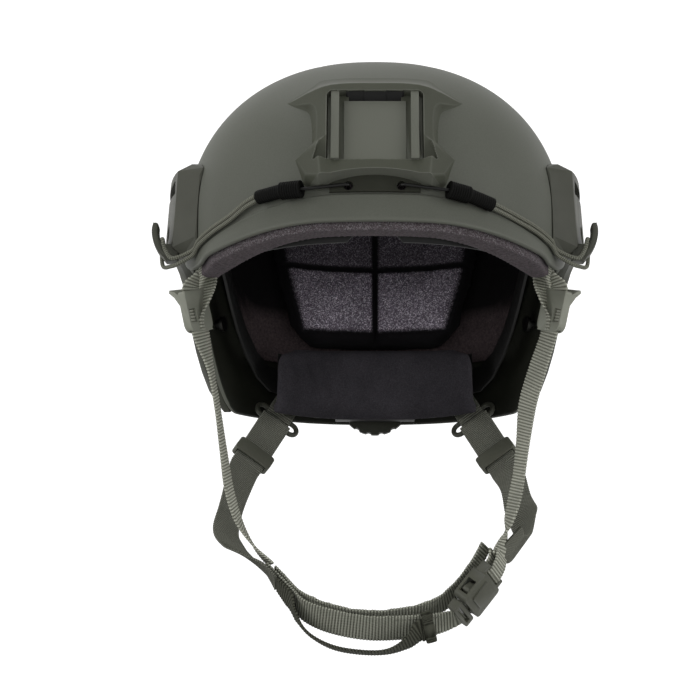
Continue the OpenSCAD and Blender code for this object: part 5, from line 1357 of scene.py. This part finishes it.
def box_on(stations, width, start, length, face):
    """A box with a cross of stitches on a tape's face, from start to start + length along it."""
    at, c, v, f, t = tape_frame(stations)
    i, j = np.searchsorted(at, start), min(np.searchsorted(at, start + length), len(at) - 1)
    corner = lambda n, s: c[n] + v[n] * s * (width / 2 - 2.4) + f[n] * face * STANDS_OFF
    a, b, d, e = corner(i, -1), corner(i, 1), corner(j, 1), corner(j, -1)
    sides = ((a, b), (b, d), (d, e), (e, a), (a, d), (b, e))
    return [stitch for p, q in sides for stitch in stitch_row(p, q, f[(i + j) // 2] * face)]


def edge_rows(stations, start, end, inset, shift=0.0):
    """Stitches on both faces of a tape, inset from its edges, every 3.3 mm between two distances."""
    at, c, v, f, t = tape_frame(stations, shift)
    half = STRAP_WIDTH / 2 - inset
    return [
        (c[n] + v[n] * half * s + f[n] * face * STANDS_OFF, t[n], f[n] * face)
        for face in (1, -1)
        for n in np.searchsorted(at, np.arange(start, min(end, at[-1] - 1), PITCH))
        for s in (-1, 1)
    ]


thread, tree, place = new_material("bonded_nylon_thread")
twist = add(tree, "TexWave", {"Vector": place, "Scale": 900.0, "Distortion": 1.0}).outputs["Fac"]
tone = add(tree, "Mix", {0: twist, 6: linear("#3a3b33"), 7: linear("#75766a")}, data_type="RGBA")
shaded(thread, {"Base Color": tone, "Roughness": 0.6})
piece("thread_chin", thread_mesh(edge_rows(chin_path, 88, 112, 2.2)), thread, "buckle_half", "webbing")
sewn = edge_rows(backing_path, 8, 150, 1.6, LAYER)
for side in (-1, 1):
    for face in (side, -side):
        sewn += box_on(in_rear_frame(loop_out, side), REAR_WIDTH, 3, 12, face)
piece("thread_harness", thread_mesh(sewn), thread, "helmet", "webbing")

# The sliders, the buckle and the dial. Moulded acetal and nylon: pale plates in front, slim olive frames
# behind, and a side-release buckle. Each keeps its CAD shape, with its moulded edges rounded.
pale_acetal = moulded("moulded_acetal_pale", "#8f9185", 0.42, 0.7, 0.03, "#9a9c90")
olive_acetal = moulded("moulded_acetal_olive", "#535449", 0.45, 0.7, 0.03, "#60615a")
dark_acetal = moulded("moulded_acetal_dark", "#56574d", 0.5, 0.7, 0.03, "#5c5d53")
knob_nylon = moulded("moulded_nylon_knob", "#1f2019", 0.55, 0.7, 0.04, "#2a2b23", 0.15)
hardware = [
    ("front_slider_left", "front_left_slider", "pale_plastic", pale_acetal, 0.45),
    ("front_slider_right", "front_right_slider", "pale_plastic", pale_acetal, 0.45),
    ("rear_slider_left", "rear_left_slider", "buckle_plastic", dark_acetal, 0.3),
    ("rear_slider_right", "rear_right_slider", "buckle_plastic", dark_acetal, 0.3),
    ("buckle_housing", "helmet", "buckle_plastic", olive_acetal, 0.5),
    ("buckle_insert", "buckle_half", "buckle_plastic", olive_acetal, 0.4),
    ("buckle_prong_upper", "upper_prong", "buckle_plastic", olive_acetal, 0.4),
    ("buckle_prong_lower", "lower_prong", "buckle_plastic", olive_acetal, 0.4),
    ("dial_housing", "helmet", "black_nylon", black_nylon, 0.5),
    ("dial_knob", "dial", "olive_plastic", knob_nylon, 0.5),
]
for node, body, slot, plastic, edge in hardware:
    piece("moulded_" + node, rounded_copy(node, edge, 30), plastic, body, slot, node)

# The screws, racks, pinion, rings and gasket keep their CAD meshes. Screws are steel, blackened or
# zinc plated; the racks and pinion are nylon, the rings are coated wire, and the gasket is rubber in the shell's shaded
# tone, painted shade under the mount.
def machined_steel(name, tone, rough):
    """Steel with a chemical or plated finish: metal under faint turning lines 0.5 mm apart, drawn coarser than
    they are."""
    made, tree, place = new_material(name)
    lines = add(tree, "TexNoise", {"Vector": place, "Scale": 2000.0, "Detail": 2.0})
    stain = add(tree, "TexNoise", {"Vector": place, "Scale": 300.0, "Detail": 2.0})
    level = add(tree, "MapRange", {"Value": stain, "To Min": 0.8, "To Max": 1.15})
    base = add(tree, "Mix", {0: 1.0, 6: linear(tone), 7: level}, data_type="RGBA", blend_type="MULTIPLY")
    gloss = add(tree, "MapRange", {"Value": lines, "To Min": rough - 0.05, "To Max": rough + 0.12})
    return shaded(made, {"Base Color": base, "Roughness": gloss, "Metallic": 1.0})


finish = {
    "plated_steel": machined_steel("zinc_plated_steel", "#a3a39c", 0.35),
    "black_screws": machined_steel("black_oxide_steel", "#2a2a28", 0.4),
    # The gasket's tone is the shell's in shade: painted shade in the dark crescent under the mount.
    "gasket_rubber": moulded("moulded_neoprene_olive", "#2f3029", 0.7, 0.6, 0.05, gloss_level=0.1),
    "coated_wire": moulded("nylon_coated_wire", "#42433b", 0.45, 0.6, 0.03, "#5e5f55"),
    "black_nylon": black_nylon,
}
slots = {s["node"]: s["material_slot"] for s in frame["record"]["subparts"]}
for name, made in frame["nodes"].items():
    if not made.hide_render:
        made.data.materials.clear()
        made.data.materials.append(finish[slots[name]])
# A black sheet in the mount's slot: painted shade of the opening under the arch.
slot_shadow_black = moulded("moulded_neoprene_black", "#0c0c0b", 0.6, 0.7, 0.04)
piece("gasket_strip", painted_slot_shadow_mesh, slot_shadow_black, "helmet", "gasket_rubber")

bpy.context.view_layer.update()
